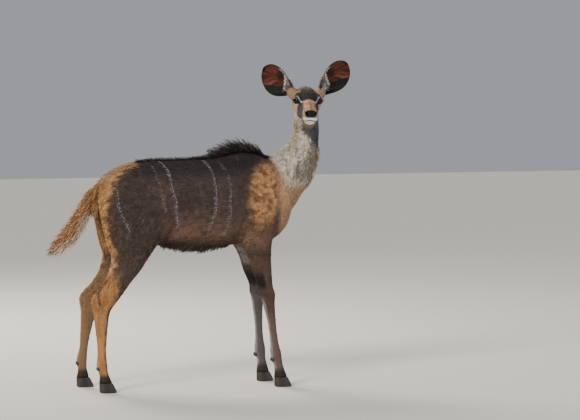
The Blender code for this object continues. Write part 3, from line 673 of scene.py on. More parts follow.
def half_skin(thing, keep_beyond):
    """The side of a skin that lies beyond the throat's plane, or before it."""
    bm = bmesh_of(thing)
    offset = RIM_GAP if keep_beyond else -RIM_GAP
    bmesh.ops.bisect_plane(bm, geom=bm.verts[:] + bm.edges[:] + bm.faces[:], dist=1e-6,
                           plane_co=THROAT_POINT + THROAT_NORMAL * offset, plane_no=THROAT_NORMAL,
                           clear_outer=not keep_beyond, clear_inner=keep_beyond)
    bpy.data.objects.remove(thing, do_unlink=True)
    return bm


whole = joined([half_skin(body, False), half_skin(head, True)])
rims = [edge for edge in whole.edges if edge.is_boundary]
bmesh.ops.bridge_loops(whole, edges=rims)
bmesh.ops.triangulate(whole, faces=whole.faces)
bmesh.ops.recalc_face_normals(whole, faces=whole.faces)
skin = mesh_piece("skin", whole)
print("rim edges", len(rims), "skin triangles", len(skin.data.polygons))

# %% [markdown]
# An ear is a broad leaf of gristle, rolled to a funnel at its root. It starts as a flat
# grid: one direction runs up the ear and the other across it. Each point is then moved
# on to the rolled sheet, low ridges of gristle are raised inside it, and the sheet gets
# its thickness.

# %% Ears
EAR_ROWS = 46
EAR_COLUMNS = 34


def ear_half_width(t):
    """Half the ear's chord at t along it, 0 at the root and 1 at the tip."""
    if t < EAR_WIDEST:
        return EAR_STEM + (EAR_WIDTH / 2 - EAR_STEM) * math.sin(math.pi / 2 * t / EAR_WIDEST) ** 1.15
    return EAR_WIDTH / 2 * math.sqrt(max(0.0, 1.0 - ((t - EAR_WIDEST) / (1.0 - EAR_WIDEST)) ** 2))


def ear_half_widths(shares):
    return np.array([ear_half_width(min(max(t, 0.0), 0.9998)) for t in shares])


def ear_point(side, t, s):
    """The place on the sheet at t along the ear and s across it, from -1 to 1."""
    run, wide, face = ear_axes(side)
    arc = math.radians(58 + 192 * max(0.0, 1.0 - t / 0.62) ** 1.5)
    radius = ear_half_width(t) / math.sin(min(arc / 2, math.pi / 2))
    angle = arc * s / 2
    bend = math.sin(math.pi * t)
    depth = radius * (max(0.0, math.cos(arc / 2)) - math.cos(angle)) - EAR_LEAN * bend
    ridge = 0.0008 * math.cos(9.0 * s + 1.0) * ramp(0.15, 0.4, t) * ramp(0.95, 0.7, t)
    rim = 0.0024 * max(0.0, abs(s) - 0.86) / 0.14 * min(1.0, t * 4)
    over = radius * math.sin(angle) - side * EAR_SAG * bend
    return ear_root(side) + run * (EAR_LENGTH * t) + wide * over + face * (depth + ridge + rim)


def ear_sheet(side):
    """The ear's sheet with its thickness, closed all round."""
    bm = bmesh.new()
    bmesh.ops.create_grid(bm, x_segments=EAR_COLUMNS, y_segments=EAR_ROWS, size=1.0)
    for vert in bm.verts:
        t = 0.9998 * (1.0 - (1.0 - (vert.co.y + 1) / 2) ** 2)
        vert.co = ear_point(side, t, vert.co.x)
    thing = mesh_piece("ear_sheet", bm)
    wall = thing.modifiers.new("wall", "SOLIDIFY")
    wall.thickness = EAR_WALL
    wall.offset = 0.0
    wall.use_even_offset = False
    applied(thing)
    bm = bmesh_of(thing)
    bpy.data.objects.remove(thing, do_unlink=True)
    bmesh.ops.triangulate(bm, faces=bm.faces)
    bmesh.ops.recalc_face_normals(bm, faces=bm.faces)
    return bm


# %% [markdown]
# Openings are cut and lids are added with Booleans, one closed form at a time, by the
# Manifold solver, which is exact and quick on closed meshes.

# %% Boolean helper
def boolean(thing, bms, operation):
    """Joins these closed bmeshes to the object, or cuts them from it."""
    for bm in bms:
        bmesh.ops.triangulate(bm, faces=bm.faces)
        tool = mesh_piece("tool", bm)
        step = thing.modifiers.new("step", "BOOLEAN")
        step.operation = operation
        step.object = tool
        step.solver = "MANIFOLD"
        applied(thing)
        bpy.data.objects.remove(tool, do_unlink=True)


def tube(points, radii, count=10):
    """A round closed tube along points, with a radius at each."""
    sections = []
    side = None
    for k, (point, radius) in enumerate(zip(points, radii)):
        run = (points[min(k + 1, len(points) - 1)] - points[max(k - 1, 0)]).normalized()
        side = run.orthogonal() if side is None else side - run * side.dot(run)
        side.normalize()
        sections.append((point, side * radius, run.cross(side) * radius, 0.0))
    return loft(sections, count)


def surface_of(thing):
    bm = bmesh_of(thing)
    tree = BVHTree.FromBMesh(bm)
    bm.free()
    return tree


# %% Mouth, nostrils and eye openings
LID_RISE = 0.0077
LID_FALL = 0.0069
LID_REACH = 0.0170


def mouth_line(surface):
    """The line of the mouth on the skin, from one corner round the muzzle to the other."""
    tip, corner = MOUTH_SPAN
    steps = 14
    places = []
    for k in range(-steps, steps + 1):
        turn = math.pi / 2 * k / steps
        aim = AHEAD * math.cos(turn) + LEFT * math.sin(turn)
        height = MOUTH_HEIGHT - 0.012 * math.sin(turn) ** 2 + 0.0006 * math.cos(turn) ** 8
        middle = on_head(corner + (tip - corner) * math.cos(turn), height, 0.0)
        places.append(surface.ray_cast(middle + aim * 0.2, -aim)[0])
    return places


def nostril_pit(side):
    """A comma-shaped pit: a round opening with a slit that curls back along the side."""
    forward, high_place, wide_place = NOSTRIL
    slant = (UP + LEFT * side * 0.8).normalized()
    flat = AHEAD.cross(slant)
    bms = [ball(on_head(forward, high_place, wide_place * side),
                (AHEAD * 0.010, slant * 0.0076, flat * 0.0036), 20, 12)]
    bms.append(ball(on_head(forward - 0.004, high_place + 0.0045, (wide_place + 0.0065) * side),
                    (AHEAD * 0.009, (LEFT * side + UP * 0.2) * 0.0050, UP * 0.0020), 16, 10))
    return bms


def lid(side, upper):
    """A lid: a bent, tapered roll over the eyeball along one rim of the opening."""
    out, along, high_axis = eye_axes(side)
    centre = eye_centre(side)
    points, radii = [], []
    steps = 16
    for k in range(steps + 1):
        share = -1.0 + 2.0 * k / steps
        rise = (LID_RISE if upper else -LID_FALL) * math.cos(share * math.pi / 2) ** 0.9 + 0.0005
        reach = LID_REACH * share
        lift = math.sqrt(max(0.0, LID_RADIUS ** 2 - rise ** 2 - reach ** 2)) - 0.0022
        points.append(centre + out * lift + along * reach + high_axis * rise)
        radii.append(0.0020 - 0.0006 * abs(share) ** 3)
    return tube(points, radii, 8)


surface = surface_of(skin)
line = mouth_line(surface)
mouth_path = [a.lerp(b, k / 4) for a, b in zip(line, line[1:]) for k in range(4)] + [line[-1]]
boolean(skin, [tube(line, [MOUTH_RADIUS] * len(line), 8)], "DIFFERENCE")
for side in SIDES.values():
    out, along, high_axis = eye_axes(side)
    opening = ball(eye_centre(side) + out * EYE_RADIUS,
                   (out * 0.014, along * EYE_OPENING[0], high_axis * EYE_OPENING[1]))
    boolean(skin, nostril_pit(side) + [opening], "DIFFERENCE")
    boolean(skin, [lid(side, True), lid(side, False)], "UNION")
    socket = ball(eye_centre(side), [axis * (EYE_RADIUS + 0.0002) for axis in eye_axes(side)], 40, 24)
    boolean(skin, [socket], "DIFFERENCE")
    boolean(skin, [ear_sheet(side)], "UNION")
print("skin triangles", sum(len(face.vertices) - 2 for face in skin.data.polygons))

# %% [markdown]
# A cut leaves a hard, slightly ragged edge, and a real lip or lid is rounded. So the
# skin is eased once more, only within a few millimetres of the mouth, the nostrils and
# the lids, and not where the eyeball has to fit.

# %% Soften the cut edges
def distance_to(points, places):
    """The distance of each point to the nearest of some places."""
    return np.min([np.linalg.norm(points - np.array(place), axis=1) for place in places], axis=0)


def soften(thing, rounds):
    points = vertex_array(thing.data)
    ends, count = neighbours(thing.data)
    weight = ramp(0.006, 0.003, distance_to(points, mouth_path))
    for side in SIDES.values():
        reach = distance_to(points, [eye_centre(side)])
        front = beyond(points, eye_centre(side), eye_axes(side)[0]) > 0.0
        lids = front * ramp(0.0210, 0.0220, reach) * ramp(0.036, 0.029, reach)
        nostril = ramp(0.012, 0.008, distance_to(points, [both_sides(NOSTRIL, side)]))
        weight = np.maximum(weight, np.maximum(lids, nostril))
    for k in range(rounds):
        points += 0.5 * weight[:, None] * (neighbour_mean(points, ends, count) - points)
    move_to(thing.data, points)


soften(skin, 5)

# %% [markdown]
# A colour painted at the corners of the mesh can't be finer than its triangles. The
# lids, the nose and the lips carry the smallest markings, so there each triangle is cut
# into four.

# %% Finer skin round the eyes and on the muzzle
def near_small_marks(points):
    reach = distance_to(points, [eye_centre(1), eye_centre(-1)])
    f, u, l = head_coordinates(points)
    lids = (reach < 0.029) & (reach > EYE_RADIUS + 0.0010) & (f > -0.010) & (abs(l) > 0.020)
    muzzle = (f > 0.108) & (f < 0.16) & (abs(l) < 0.038) & (u > -0.062) & (u < 0.02)
    return lids | muzzle & (distance_to(points, mouth_path) > 0.0018)


finer = bmesh_of(skin)
close = near_small_marks(vertex_array(skin.data))
edges = [edge for edge in finer.edges if close[edge.verts[0].index] and close[edge.verts[1].index]]
bmesh.ops.subdivide_edges(finer, edges=edges, cuts=1, use_grid_fill=True)
bmesh.ops.triangulate(finer, faces=finer.faces)
finer.to_mesh(skin.data)
finer.free()
print("edges cut", len(edges), "skin triangles", len(skin.data.polygons))

# %% [markdown]
# The markings are painted by rules, as a taxidermist would describe them: a region, a
# colour, and how softly it fades. The same rules colour the skin and every tuft on it,
# so the two agree. Patches of smooth random values keep the rules from looking drawn.

# %% Tools for the markings
lattice = np.random.default_rng(5).random((32, 32, 32))


def cloud(points, size):
    """Smooth random values from 0 to 1, in patches of about this size."""
    places = points / np.array(size)
    cell = np.floor(places).astype(int)
    part = places - cell
    part = part * part * (3 - 2 * part)
    total = np.zeros(len(points))
    for corner in range(8):
        step = np.array([(corner >> axis) & 1 for axis in range(3)])
        weight = np.prod(np.where(step, part, 1 - part), axis=1)
        i, j, k = ((cell + step) % 32).T
        total += weight * lattice[i, j, k]
    return total


def paint(colours, code, weight):
    """Brings the colours towards a hex colour by a weight from 0 to 1."""
    colours += (np.array(linear(code)) - colours) * np.clip(weight, 0.0, 1.0).reshape(-1, 1)


def plain(code, number):
    """A table of one hex colour, to paint on."""
    return np.tile(linear(code), (number, 1))


def painted(base, number, rules):
    """Rules painted over a base in order: each is a hex colour and factors of its weight."""
    colours = plain(base, number)
    for code, *factors in rules:
        paint(colours, code, math.prod(factors))
    return colours


def spot(u, v, middle, radius):
    """1 in the middle of an oval and falling softly to 0 outside it."""
    return np.exp(-((u - middle[0]) / radius[0]) ** 2 - ((v - middle[1]) / radius[1]) ** 2)


def line_distance(u, v, places):
    """The distance to a line through places in a plane, and how far along it, from 0 to 1."""
    best = np.full(len(u), 9.0)
    share = np.zeros(len(u))
    for k, (start, end) in enumerate(zip(places, places[1:])):
        run = np.array(end) - np.array(start)
        t = np.clip(((u - start[0]) * run[0] + (v - start[1]) * run[1]) / (run @ run), 0.0, 1.0)
        gap = np.hypot(u - start[0] - t * run[0], v - start[1] - t * run[1])
        closer = gap < best
        best[closer] = gap[closer]
        share[closer] = (k + t[closer]) / (len(places) - 1)
    return best, share


# %% [markdown]
# The white stripes run down from the spine like chalk lines, some strong, some faint,
# and none quite straight. Each is a short list of places in side view, in metres.

# %% Stripes
STRIPES = [
    (0.9, [(-0.369, 0.876), (-0.370, 0.844), (-0.368, 0.803), (-0.366, 0.770), (-0.351, 0.733),
           (-0.326, 0.675)]),
    (0.35, [(-0.280, 0.736), (-0.268, 0.711), (-0.253, 0.678)]),
    (0.3, [(-0.266, 0.932), (-0.264, 0.912), (-0.260, 0.880), (-0.250, 0.851), (-0.244, 0.818)]),
    (0.6, [(-0.205, 0.935), (-0.199, 0.895), (-0.187, 0.842), (-0.177, 0.793), (-0.169, 0.751)]),
    (1.0, [(-0.175, 0.962), (-0.148, 0.923), (-0.144, 0.890), (-0.140, 0.849), (-0.129, 0.817),
           (-0.124, 0.787), (-0.124, 0.750), (-0.119, 0.708), (-0.116, 0.678)]),
    (0.3, [(-0.019, 0.877), (-0.014, 0.840), (-0.008, 0.790), (-0.013, 0.749)]),
    (1.0, [(0.010, 0.964), (0.032, 0.929), (0.039, 0.896), (0.044, 0.863), (0.044, 0.814),
           (0.043, 0.781), (0.040, 0.748), (0.026, 0.710), (0.012, 0.672)]),
    (0.6, [(0.076, 0.952), (0.089, 0.936), (0.096, 0.924)]),
    (0.75, [(0.106, 0.907), (0.109, 0.858), (0.107, 0.796), (0.105, 0.742), (0.099, 0.717),
            (0.092, 0.687), (0.079, 0.648)]),
    (0.3, [(0.159, 0.979), (0.162, 0.951)]),
]
STRIPE_WIDTH = 0.0030
# The stripes of the two sides never match exactly
LEFT_SHIFT = [0.004, -0.012, 0.007, -0.005, 0.006, 0.015, -0.008, -0.004, 0.005, -0.006]


def stripe_strength(points):
    """How white each point is because of the stripes."""
    x = points[:, 0] + 0.004 * (cloud(points, 0.05) - 0.5)
    z = points[:, 2]
    strength = np.zeros(len(points))
    for (power, places), shift in zip(STRIPES, LEFT_SHIFT):
        gap, share = line_distance(x - np.where(points[:, 1] > 0, shift, 0.0), z, places)
        swell = 0.55 + 0.45 * np.sin(np.pi * (0.15 + 0.7 * share))
        width = STRIPE_WIDTH / 2 * (0.75 + 0.5 * power) * swell
        strength = np.maximum(strength, power * ramp(width * 1.35, width * 0.65, gap))
    return strength


# %% Where a point belongs
NECK_POINT = (0.355, 0.0, 0.872)
NECK_NORMAL = (0.90, 0.0, 0.436)
TAIL_START = -0.4535
LEG_TOP = 0.556


def ear_coordinates(side, points):
    """Along the ear from 0 to 1, across it with its lower side positive, and out of its cup."""
    run, wide, face = ear_axes(side)
    apart = points - np.array(ear_root(side))
    t = apart @ np.array(run) / EAR_LENGTH
    bend = np.sin(np.pi * np.clip(t, 0.0, 1.0))
    return t, -side * (apart @ np.array(wide)) - EAR_SAG * bend, apart @ np.array(face) + EAR_LEAN * bend


def on_ear(side, points):
    """1 on the ear beyond its seat, and 0 on the head."""
    t, across, out = ear_coordinates(side, points)
    return (t > EAR_SEAT / EAR_LENGTH) & (np.hypot(across, out) < 0.085)


def on_the_head(points):
    return (beyond(points, THROAT_POINT, THROAT_NORMAL) > 0) & (points[:, 2] > 1.03)


def on_the_neck(points):
    return (beyond(points, NECK_POINT, NECK_NORMAL) > 0) & ~on_the_head(points) & (points[:, 2] > 0.70)


def on_the_tail(points):
    return (points[:, 0] < TAIL_START) & (points[:, 2] > 0.55)


# %% [markdown]
# The coat is a warm grey-brown, darker along the back with a black-brown line on the spine, pale on the
# neck and the insides of the legs, and dark where the legs brush through grass. Sunlight is painted on
# it as tan on the shoulder and along the rear edge of the rump, and shade is painted in its folds, under
# the belly, down the front of the neck, under the jaw and on the far and inner sides of the legs.

# %% Colours of the body
# Where the painted sunlight on the rump and the thigh ends in side view, tan against shade: height, then
# distance ahead
SUNLIT_RUMP_EDGE = [(0.435, -0.454), (0.463, -0.430), (0.505, -0.402), (0.522, -0.390), (0.564, -0.378),
             (0.597, -0.381), (0.659, -0.404), (0.713, -0.412), (0.762, -0.408), (0.803, -0.404),
             (0.844, -0.390), (0.876, -0.371), (0.904, -0.347), (0.932, -0.309), (0.955, -0.262)]
# The hollow above the hock and the fold before the thigh, where shade is painted dark
SHADED_HOCK_GROOVE = [(-0.425, 0.470), (-0.460, 0.420), (-0.455, 0.372)]
SHADED_FLANK_FOLD = [(-0.128, 0.705), (-0.152, 0.655), (-0.158, 0.600)]


def leg_share(points, name):
    """How far a point lies from the back of its leg to the front, from 0 to 1 in side view."""
    x, y, z = points.T
    fronts, backs = [np.array([row[k] for row in LEGS[name + "_right"][0]])[::-1] for k in (0, 1)]
    step = np.where(y > 0, LEGS[name + "_left"][2], LEGS[name + "_right"][2])
    x = x - step * np.clip((0.42 - z) / 0.38, 0.0, 1.0)
    front = np.interp(z, fronts[:, 1], fronts[:, 0])
    back = np.interp(z, backs[:, 1], backs[:, 0])
    return (x - back) / (front - back)


def sunlit_patch_reach(x, z):
    """How far out from the middle of the sunlit shoulder, painted as a tan patch of light, 1 at its
    edge.
    """
    return np.hypot((x - 0.266 - 0.15 * (z - 0.82)) / 0.072, (z - 0.815) / 0.130)


def body_colours(points, normals):
    x, y, z = points.T
    wide = abs(y)
    patches = cloud(points, 0.09)
    flecks = cloud(points, 0.013)
    streaks = cloud(points, (0.008, 0.008, 0.05))
    height = z + 0.02 * (patches - 0.5)
    reach = sunlit_patch_reach(x, z) + 0.30 * (flecks - 0.5)
    fold = line_distance(x, z, SHADED_FLANK_FOLD)[0]
    groove = line_distance(x, z, SHADED_HOCK_GROOVE)[0]
    edge = np.interp(z, [row[0] for row in SUNLIT_RUMP_EDGE], [row[1] for row in SUNLIT_RUMP_EDGE])
    over = x - edge + 0.030 * (flecks - 0.5)
    rump = ramp(0.014, -0.018, over) * ramp(0.41, 0.46, z)
    fore = x > 0.0
    hind = ~fore & (z < 0.60)
    hind_share, fore_share = leg_share(points, "hindleg"), leg_share(points, "foreleg")
    inner = ramp(0.2, 0.7, -normals[:, 1] * np.sign(y)) * ramp(0.64, 0.57, z)
    knee = spot(z, z, (0.452, 0.452), (0.052, 0.052))
    limit = 0.78 - 0.45 * ramp(0.40, 0.50, z)
    behind = ramp(limit + 0.12, limit - 0.12, hind_share + 0.25 * (flecks - 0.5))
    shank = hind * ramp(0.52, 0.45, z) * behind
    under = ramp(-0.45, -0.85, normals[:, 2]) * ramp(0.56, 0.59, z)
    spine = ramp(0.026, 0.012, wide + 0.006 * (patches - 0.5)) * ramp(0.1, 0.5, normals[:, 2])
    return painted("#473a36", len(points), [
        # Paler flank, dark back, and flecks over both
        ("#7a5c4c", ramp(0.78, 0.61, height), ramp(-0.21, -0.12, x)),
        ("#5c4a42", 0.35, ramp(0.45, 0.75, patches)),
        ("#262124", 0.9, ramp(0.865, 0.945, height), ramp(0.36, 0.26, x)),
        ("#2a2423", 0.35, ramp(0.45, 0.75, flecks)),
        ("#7d6150", 0.25, ramp(0.35, 0.15, flecks), ramp(0.90, 0.80, z)),
        # Painted sunlight as a tan patch on the shoulder with a brown rim, painted shade in the fold
        # behind the elbow and in the fold before the thigh, and the tan breast
        ("#5d4739", 0.8, ramp(1.35, 1.0, reach), ramp(0.015, 0.04, wide)),
        ("#bd9065", ramp(1.16, 0.62, reach), ramp(0.015, 0.04, wide), ramp(0.965, 0.925, z)),
        ("#6a4833", 0.75, ramp(1.15, 0.95, reach), ramp(0.50, 0.75, flecks)),
        ("#33291f", 0.6, spot(x, z, (0.145, 0.640), (0.035, 0.035))),
        ("#2c211c", 0.5, ramp(0.018, 0.004, fold)),
        ("#b48e70", ramp(0.310, 0.350, x), ramp(0.62, 0.70, z)),
        # Painted sunlight as tan along the rear edge of the rump, painted shade just inside it, and
        # painted shade in the cleft beside the tail
        ("#5b4637", 0.7, ramp(0.055, 0.0, over), ramp(0.46, 0.56, z)),
        ("#c3925f", rump),
        ("#6b4a33", 0.6, rump, ramp(0.55, 0.80, flecks)),
        ("#4a3527", 0.85, ramp(0.052, 0.036, wide), ramp(-0.385, -0.41, x),
         ramp(0.80, 0.76, z), ramp(0.55, 0.60, z)),
        # Forelegs: brown, pale inside above a black knee and painted shade inside below it, grey down
        # the back of the cannon
        ("#4f3d34", fore, ramp(0.64, 0.56, z)),
        ("#5b4a40", fore, ramp(0.34, 0.26, z)),
        ("#8f8780", 0.9, fore, inner, ramp(0.505, 0.525, z)),
        ("#4d484a", 0.8, fore, inner, ramp(0.505, 0.485, z)),
        ("#8b8a8f", 0.6, fore, ramp(0.40, 0.35, z), ramp(0.12, 0.04, abs(fore_share - 0.10))),
        ("#14100e", 1.3, fore, knee, np.maximum(ramp(0.55, 0.38, fore_share), inner * (y > 0))),
        # Hind legs: tawny shanks lit tan at the back by painted sunlight, with brown streaks, and
        # painted shade at the front, on the inner sides and in the hollow behind, above the hock
        ("#4b3d37", hind, ramp(0.60, 0.50, z), 1 - rump),
        ("#5c4a3a", 0.7, hind, inner),
        ("#ab7746", shank),
        ("#7c5a3a", 0.6, shank, ramp(0.45, 0.72, streaks)),
        ("#6c573f", 0.85, shank, inner),
        ("#4e3b2d", 0.8, hind, ramp(0.46, 0.40, z), ramp(0.80, 0.95, hind_share)),
        ("#33241b", 0.7, ramp(0.009, 0.003, groove), y < 0),
        # Dark pasterns, black at the hoof, painted shade under the belly, and the black line of the
        # spine
        ("#2b221d", ramp(0.090, 0.062, z)),
        ("#0f0d0c", ramp(0.052, 0.043, z)),
        ("#3d2e26", 0.6, under, ramp(-0.25, -0.15, x), ramp(0.66, 0.63, z)),
        ("#131013", spine, ramp(0.84, 0.87, z), ramp(-0.31, -0.25, x)),
    ])


def throat_shade(x, y, z):
    """1 on the head's painted shadow, dark blue-grey on the throat under the jaw, paler past its middle.
    """
    below_jaw = ramp(-0.010, 0.008, z - 1.083 + 1.05 * (x - 0.444))
    return (0.35 + 0.65 * ramp(0.030, -0.020, y)) * below_jaw * ramp(0.425, 0.445, x)


def neck_colours(points, normals):
    x, y, z = points.T
    streaks = cloud(points, (0.006, 0.006, 0.024))
    flecks = cloud(points, (0.0035, 0.0035, 0.008))
    nape = np.interp(z, [row[0][1] for row in NECK], [row[0][0] for row in NECK])
    throat = np.interp(z, [row[1][1] for row in NECK], [row[1][0] for row in NECK])
    share = (x - nape) / (throat - nape)
    low = ramp(0.875, 0.825, z + 0.04 * (streaks - 0.5))
    return painted("#c3b8a8", len(points), [
        ("#ece3d4", 0.7, ramp(0.45, 0.20, streaks)),
        ("#80766a", 0.65, ramp(0.60, 0.82, streaks)),
        ("#655b51", 0.5, ramp(0.62, 0.85, flecks)),
        ("#94866f", 0.7, ramp(0.25, 0.10, share)),
        # Painted shade down the front of the upper neck, and below it the head's painted shadow on the
        # throat
        ("#5f564d", 0.65, ramp(0.60, 0.70, share + 0.15 * (streaks - 0.5)), ramp(0.86, 0.91, z)),
        ("#45444b", 0.9, throat_shade(x, y, z)),
        # The breast is tan, and the line of the spine starts at the neck's root
        ("#ad8a6d", low),
        ("#94735c", low, ramp(0.80, 0.74, z)),
        ("#211d1f", ramp(0.030, 0.012, abs(y)), ramp(0.325, 0.300, x), ramp(0.1, 0.4, normals[:, 2])),
    ])


def tail_colours(points, normals):
    x, y, z = points.T
    along = ((TAIL_START - x) + (0.80 - z)) / 0.38
    return painted("#b08359", len(points), [
        ("#6e5140", 0.4, ramp(0.02, 0.0, abs(y)), ramp(0.2, 0.8, normals[:, 2])),
        ("#d6c5ae", ramp(0.10, -0.45, normals[:, 2] + 0.4 * (0.5 - along))),
        ("#2a201a", ramp(0.86, 0.97, along)),
    ])


# %% [markdown]
# The face carries the species' signs: a black band over the forehead, two white lines from the inner
# corners of the eyes towards the nose, a tan bridge between grey-brown sides that are darkened further
# by painted shade, a bare black nose, white lips, and fawn cheeks made paler by painted sunlight.

# %% Colours of the head
# Two pale lines run from over the eyes in towards the bridge of the nose
CHEVRON = [(0.002, 0.054), (0.014, 0.0445), (0.044, 0.0275), (0.052, 0.012)]


def eye_coordinates(side, points):
    """Forwards along the opening, up, and out of the socket, from the middle of the eyeball."""
    apart = points - np.array(eye_centre(side))
    out, along, high_axis = [np.array(axis) for axis in eye_axes(side)]
    return apart @ along * side, apart @ high_axis, apart @ out


def eye_rim(side, points):
    """Below 1 on the lids' black edge and above 1 outside it."""
    a, h, o = eye_coordinates(side, points)
    return np.where(o > 0, np.hypot((a - 0.0012) / 0.0200, (h - 0.0003) / 0.0096), 9.0)


def nose_pad(f, u, wide):
    """1 on the bare black skin of the nose, a rounded shape as the face is seen from the front."""
    down = 0.4384 * f - 0.8988 * u
    reach = ((wide / 0.0255) ** 2.5 + (abs(down - 0.0610) / 0.0152) ** 2.5) ** 0.4
    return ramp(1.06, 0.94, reach) * (f > 0.10)


def head_colours(points, normals):
    f, u, l = head_coordinates(points)
    wide = abs(l)
    patches = cloud(points, 0.014)
    ragged = 0.010 * (patches - 0.5)
    outward = wide + 0.5 * ragged
    upper = ramp(-0.030, -0.005, u)
    bridge = ramp(0.027, 0.021, wide + 0.4 * ragged) * ramp(0.036, 0.048, f) * ramp(-0.012, 0.0, u)
    limit = 0.030 + 0.021 * ramp(-0.018, 0.0, f) + 0.020 * ramp(-0.024, -0.012, f)
    rules = [
        # Pale throat, the head's shadow painted dark on the neck below the jaw, cheeks painted paler
        # where sunlit, tan behind the eyes
        ("#b09c84", ramp(-0.040, -0.065, u), ramp(0.115, 0.08, f)),
        ("#4b4a50", 0.8, throat_shade(*points.T), ramp(-0.070, -0.090, u)),
        ("#b59a78", 0.9, ramp(0.040, 0.048, wide), ramp(-0.025, 0.01, f), ramp(0.006, -0.006, u)),
        ("#94745a", upper, ramp(0.005, -0.010, f + ragged), ramp(-0.095, -0.080, f)),
        # Grey-brown sides of the muzzle darkened by painted shade, in bands from the eyes down to the
        # jaw
        ("#37333a", ramp(0.022, 0.028, outward), ramp(0.047, 0.042, outward), ramp(0.014, 0.024, f),
         ramp(-0.105, -0.090, u), ramp(0.128, 0.116, f)),
        ("#46414a", 0.85, ramp(0.016, 0.026, outward), ramp(-0.030, -0.045, u), ramp(0.030, 0.050, f),
         ramp(0.104, 0.092, f)),
        # Tan bridge with a brown line down its middle, and tan beside the nose
        ("#a9825e", bridge),
        ("#6b4c38", 0.75, bridge, ramp(0.0075, 0.001, abs(l - 0.002)), ramp(0.050, 0.065, f)),
        ("#7c5a42", 0.5, bridge, ramp(0.45, 0.7, patches)),
        ("#a88567", ramp(0.018, 0.022, wide), ramp(0.033, 0.028, wide), ramp(0.085, 0.10, f),
         ramp(-0.026, -0.018, u), ramp(0.004, -0.004, u)),
        # Black forehead and brown crown
        ("#1a181d", 0.96, ramp(limit + 0.004, limit - 0.004, wide + ragged),
         ramp(-0.052, -0.042, f + ragged), ramp(0.046, 0.036, f + ragged), ramp(0.002, 0.010, u)),
        ("#6a5140", 0.8, ramp(-0.045, -0.062, f), ramp(0.040, 0.020, wide), upper),
    ]
    for side in SIDES.values():
        gap = line_distance(f, l * side, CHEVRON)[0]
        rules.append(("#b7b2b0", 0.70, ramp(0.0028, 0.0010, gap), ramp(-0.01, 0.004, u)))
    for side in SIDES.values():
        a, h, o = eye_coordinates(side, points)
        rim = eye_rim(side, points)
        rules += [
            # Pale hair over and under the eye, black lids, and the black groove of the tear duct
            ("#cfc2b0", 0.6, ramp(1.55, 1.30, rim), ramp(0.002, 0.010, h), ramp(0.0, -0.010, a)),
            ("#cdb491", 0.5, ramp(1.6, 1.3, rim), ramp(-0.004, -0.010, h)),
            ("#0e0c0d", ramp(1.16, 0.98, rim)),
            ("#151214", ramp(0.004, 0.002, abs(h + 0.004 + 0.35 * (a - 0.018))), ramp(0.014, 0.018, a),
             ramp(0.036, 0.028, a), o > 0),
        ]
    lower_lip = np.hypot((l + 0.003) / 0.0235, (u + 0.036) / 0.0185)
    rules += [
        # Brown chin, white upper and lower lip, black nose and the dark line of the mouth
        ("#6d5a4c", ramp(-0.034, -0.040, u), ramp(0.080, 0.092, f)),
        ("#d8d9db", ramp(0.096, 0.106, f), ramp(-0.0185, -0.0215, u), ramp(-0.043, -0.038, u),
         ramp(0.034, 0.027, wide)),
        ("#d2d2d4", ramp(0.085, 0.095, f), ramp(-0.030, -0.034, u), ramp(1.15, 0.80, lower_lip)),
        ("#151417", nose_pad(f, u, wide)),
        ("#0c0a0b", ramp(0.0030, 0.0018, distance_to(points, mouth_path))),
    ]
    return painted("#756252", len(points), rules)


def tuft_edge(across):
    """How far along the ear its grey inner tuft reaches, at each place across it."""
    return 0.365 - 2.1 * across


def ear_colours(side, points, normals):
    t, across, out = ear_coordinates(side, points)
    number = len(points)
    inside = ramp(-0.15, 0.15, normals @ np.array(ear_axes(side)[2]))[:, None]
    edge = abs(across) / np.maximum(ear_half_widths(t), 0.001)
    swirl = across + 0.022 * np.sin(4.6 * t) + 0.012 * np.cos(70.0 * across)
    streaks = cloud(np.stack([t * 0.15, swirl, np.zeros(number)], axis=1) + 0.5, (0.040, 0.0036, 1.0))
    shadow_blotch = np.hypot((t - 0.57) / 0.11, (across + 0.028) / 0.022) + 0.6 * (streaks - 0.5)
    from_tuft = t - tuft_edge(across)
    back = painted("#635044", number, [
        ("#2a211c", 0.9 * ramp(0.84, 0.97, t) + 0.6 * ramp(0.80, 0.97, edge)),
    ])
    cup = painted("#5c2c1d", number, [
        # Red-brown painted for sunlight shining through the ear, streaked with hair, round a painted
        # shadow deep in the cup, over a lower part painted black as shade
        ("#2c130d", 0.85, ramp(0.50, 0.75, streaks)),
        ("#86503c", 0.55, ramp(0.42, 0.2, streaks), ramp(0.4, 0.7, t)),
        ("#170b09", 0.85, ramp(1.5, 0.4, shadow_blotch)),
        ("#0d0a0a", ramp(0.010, 0.018, across - 0.12 * (t - 0.475) + 0.012 * (streaks - 0.5)),
         ramp(0.80, 0.70, t)),
        # The grey funnel with its white edge, a pale upper rim, and a black border
        ("#746b69", ramp(0.02, -0.01, from_tuft), ramp(0.021, 0.011, across)),
        ("#ddd5cb", ramp(0.026, 0.012, abs(from_tuft)), ramp(0.020, 0.010, across),
         ramp(0.90, 0.80, edge)),
        ("#c9c0b5", ramp(0.83, 0.88, edge), across < 0, ramp(0.70, 0.60, t), ramp(0.30, 0.40, t)),
        ("#140e0e", ramp(0.90, 0.95, np.maximum(edge, ramp(0.93, 0.99, t)))),
    ])
    return back * (1 - inside) + cup * inside


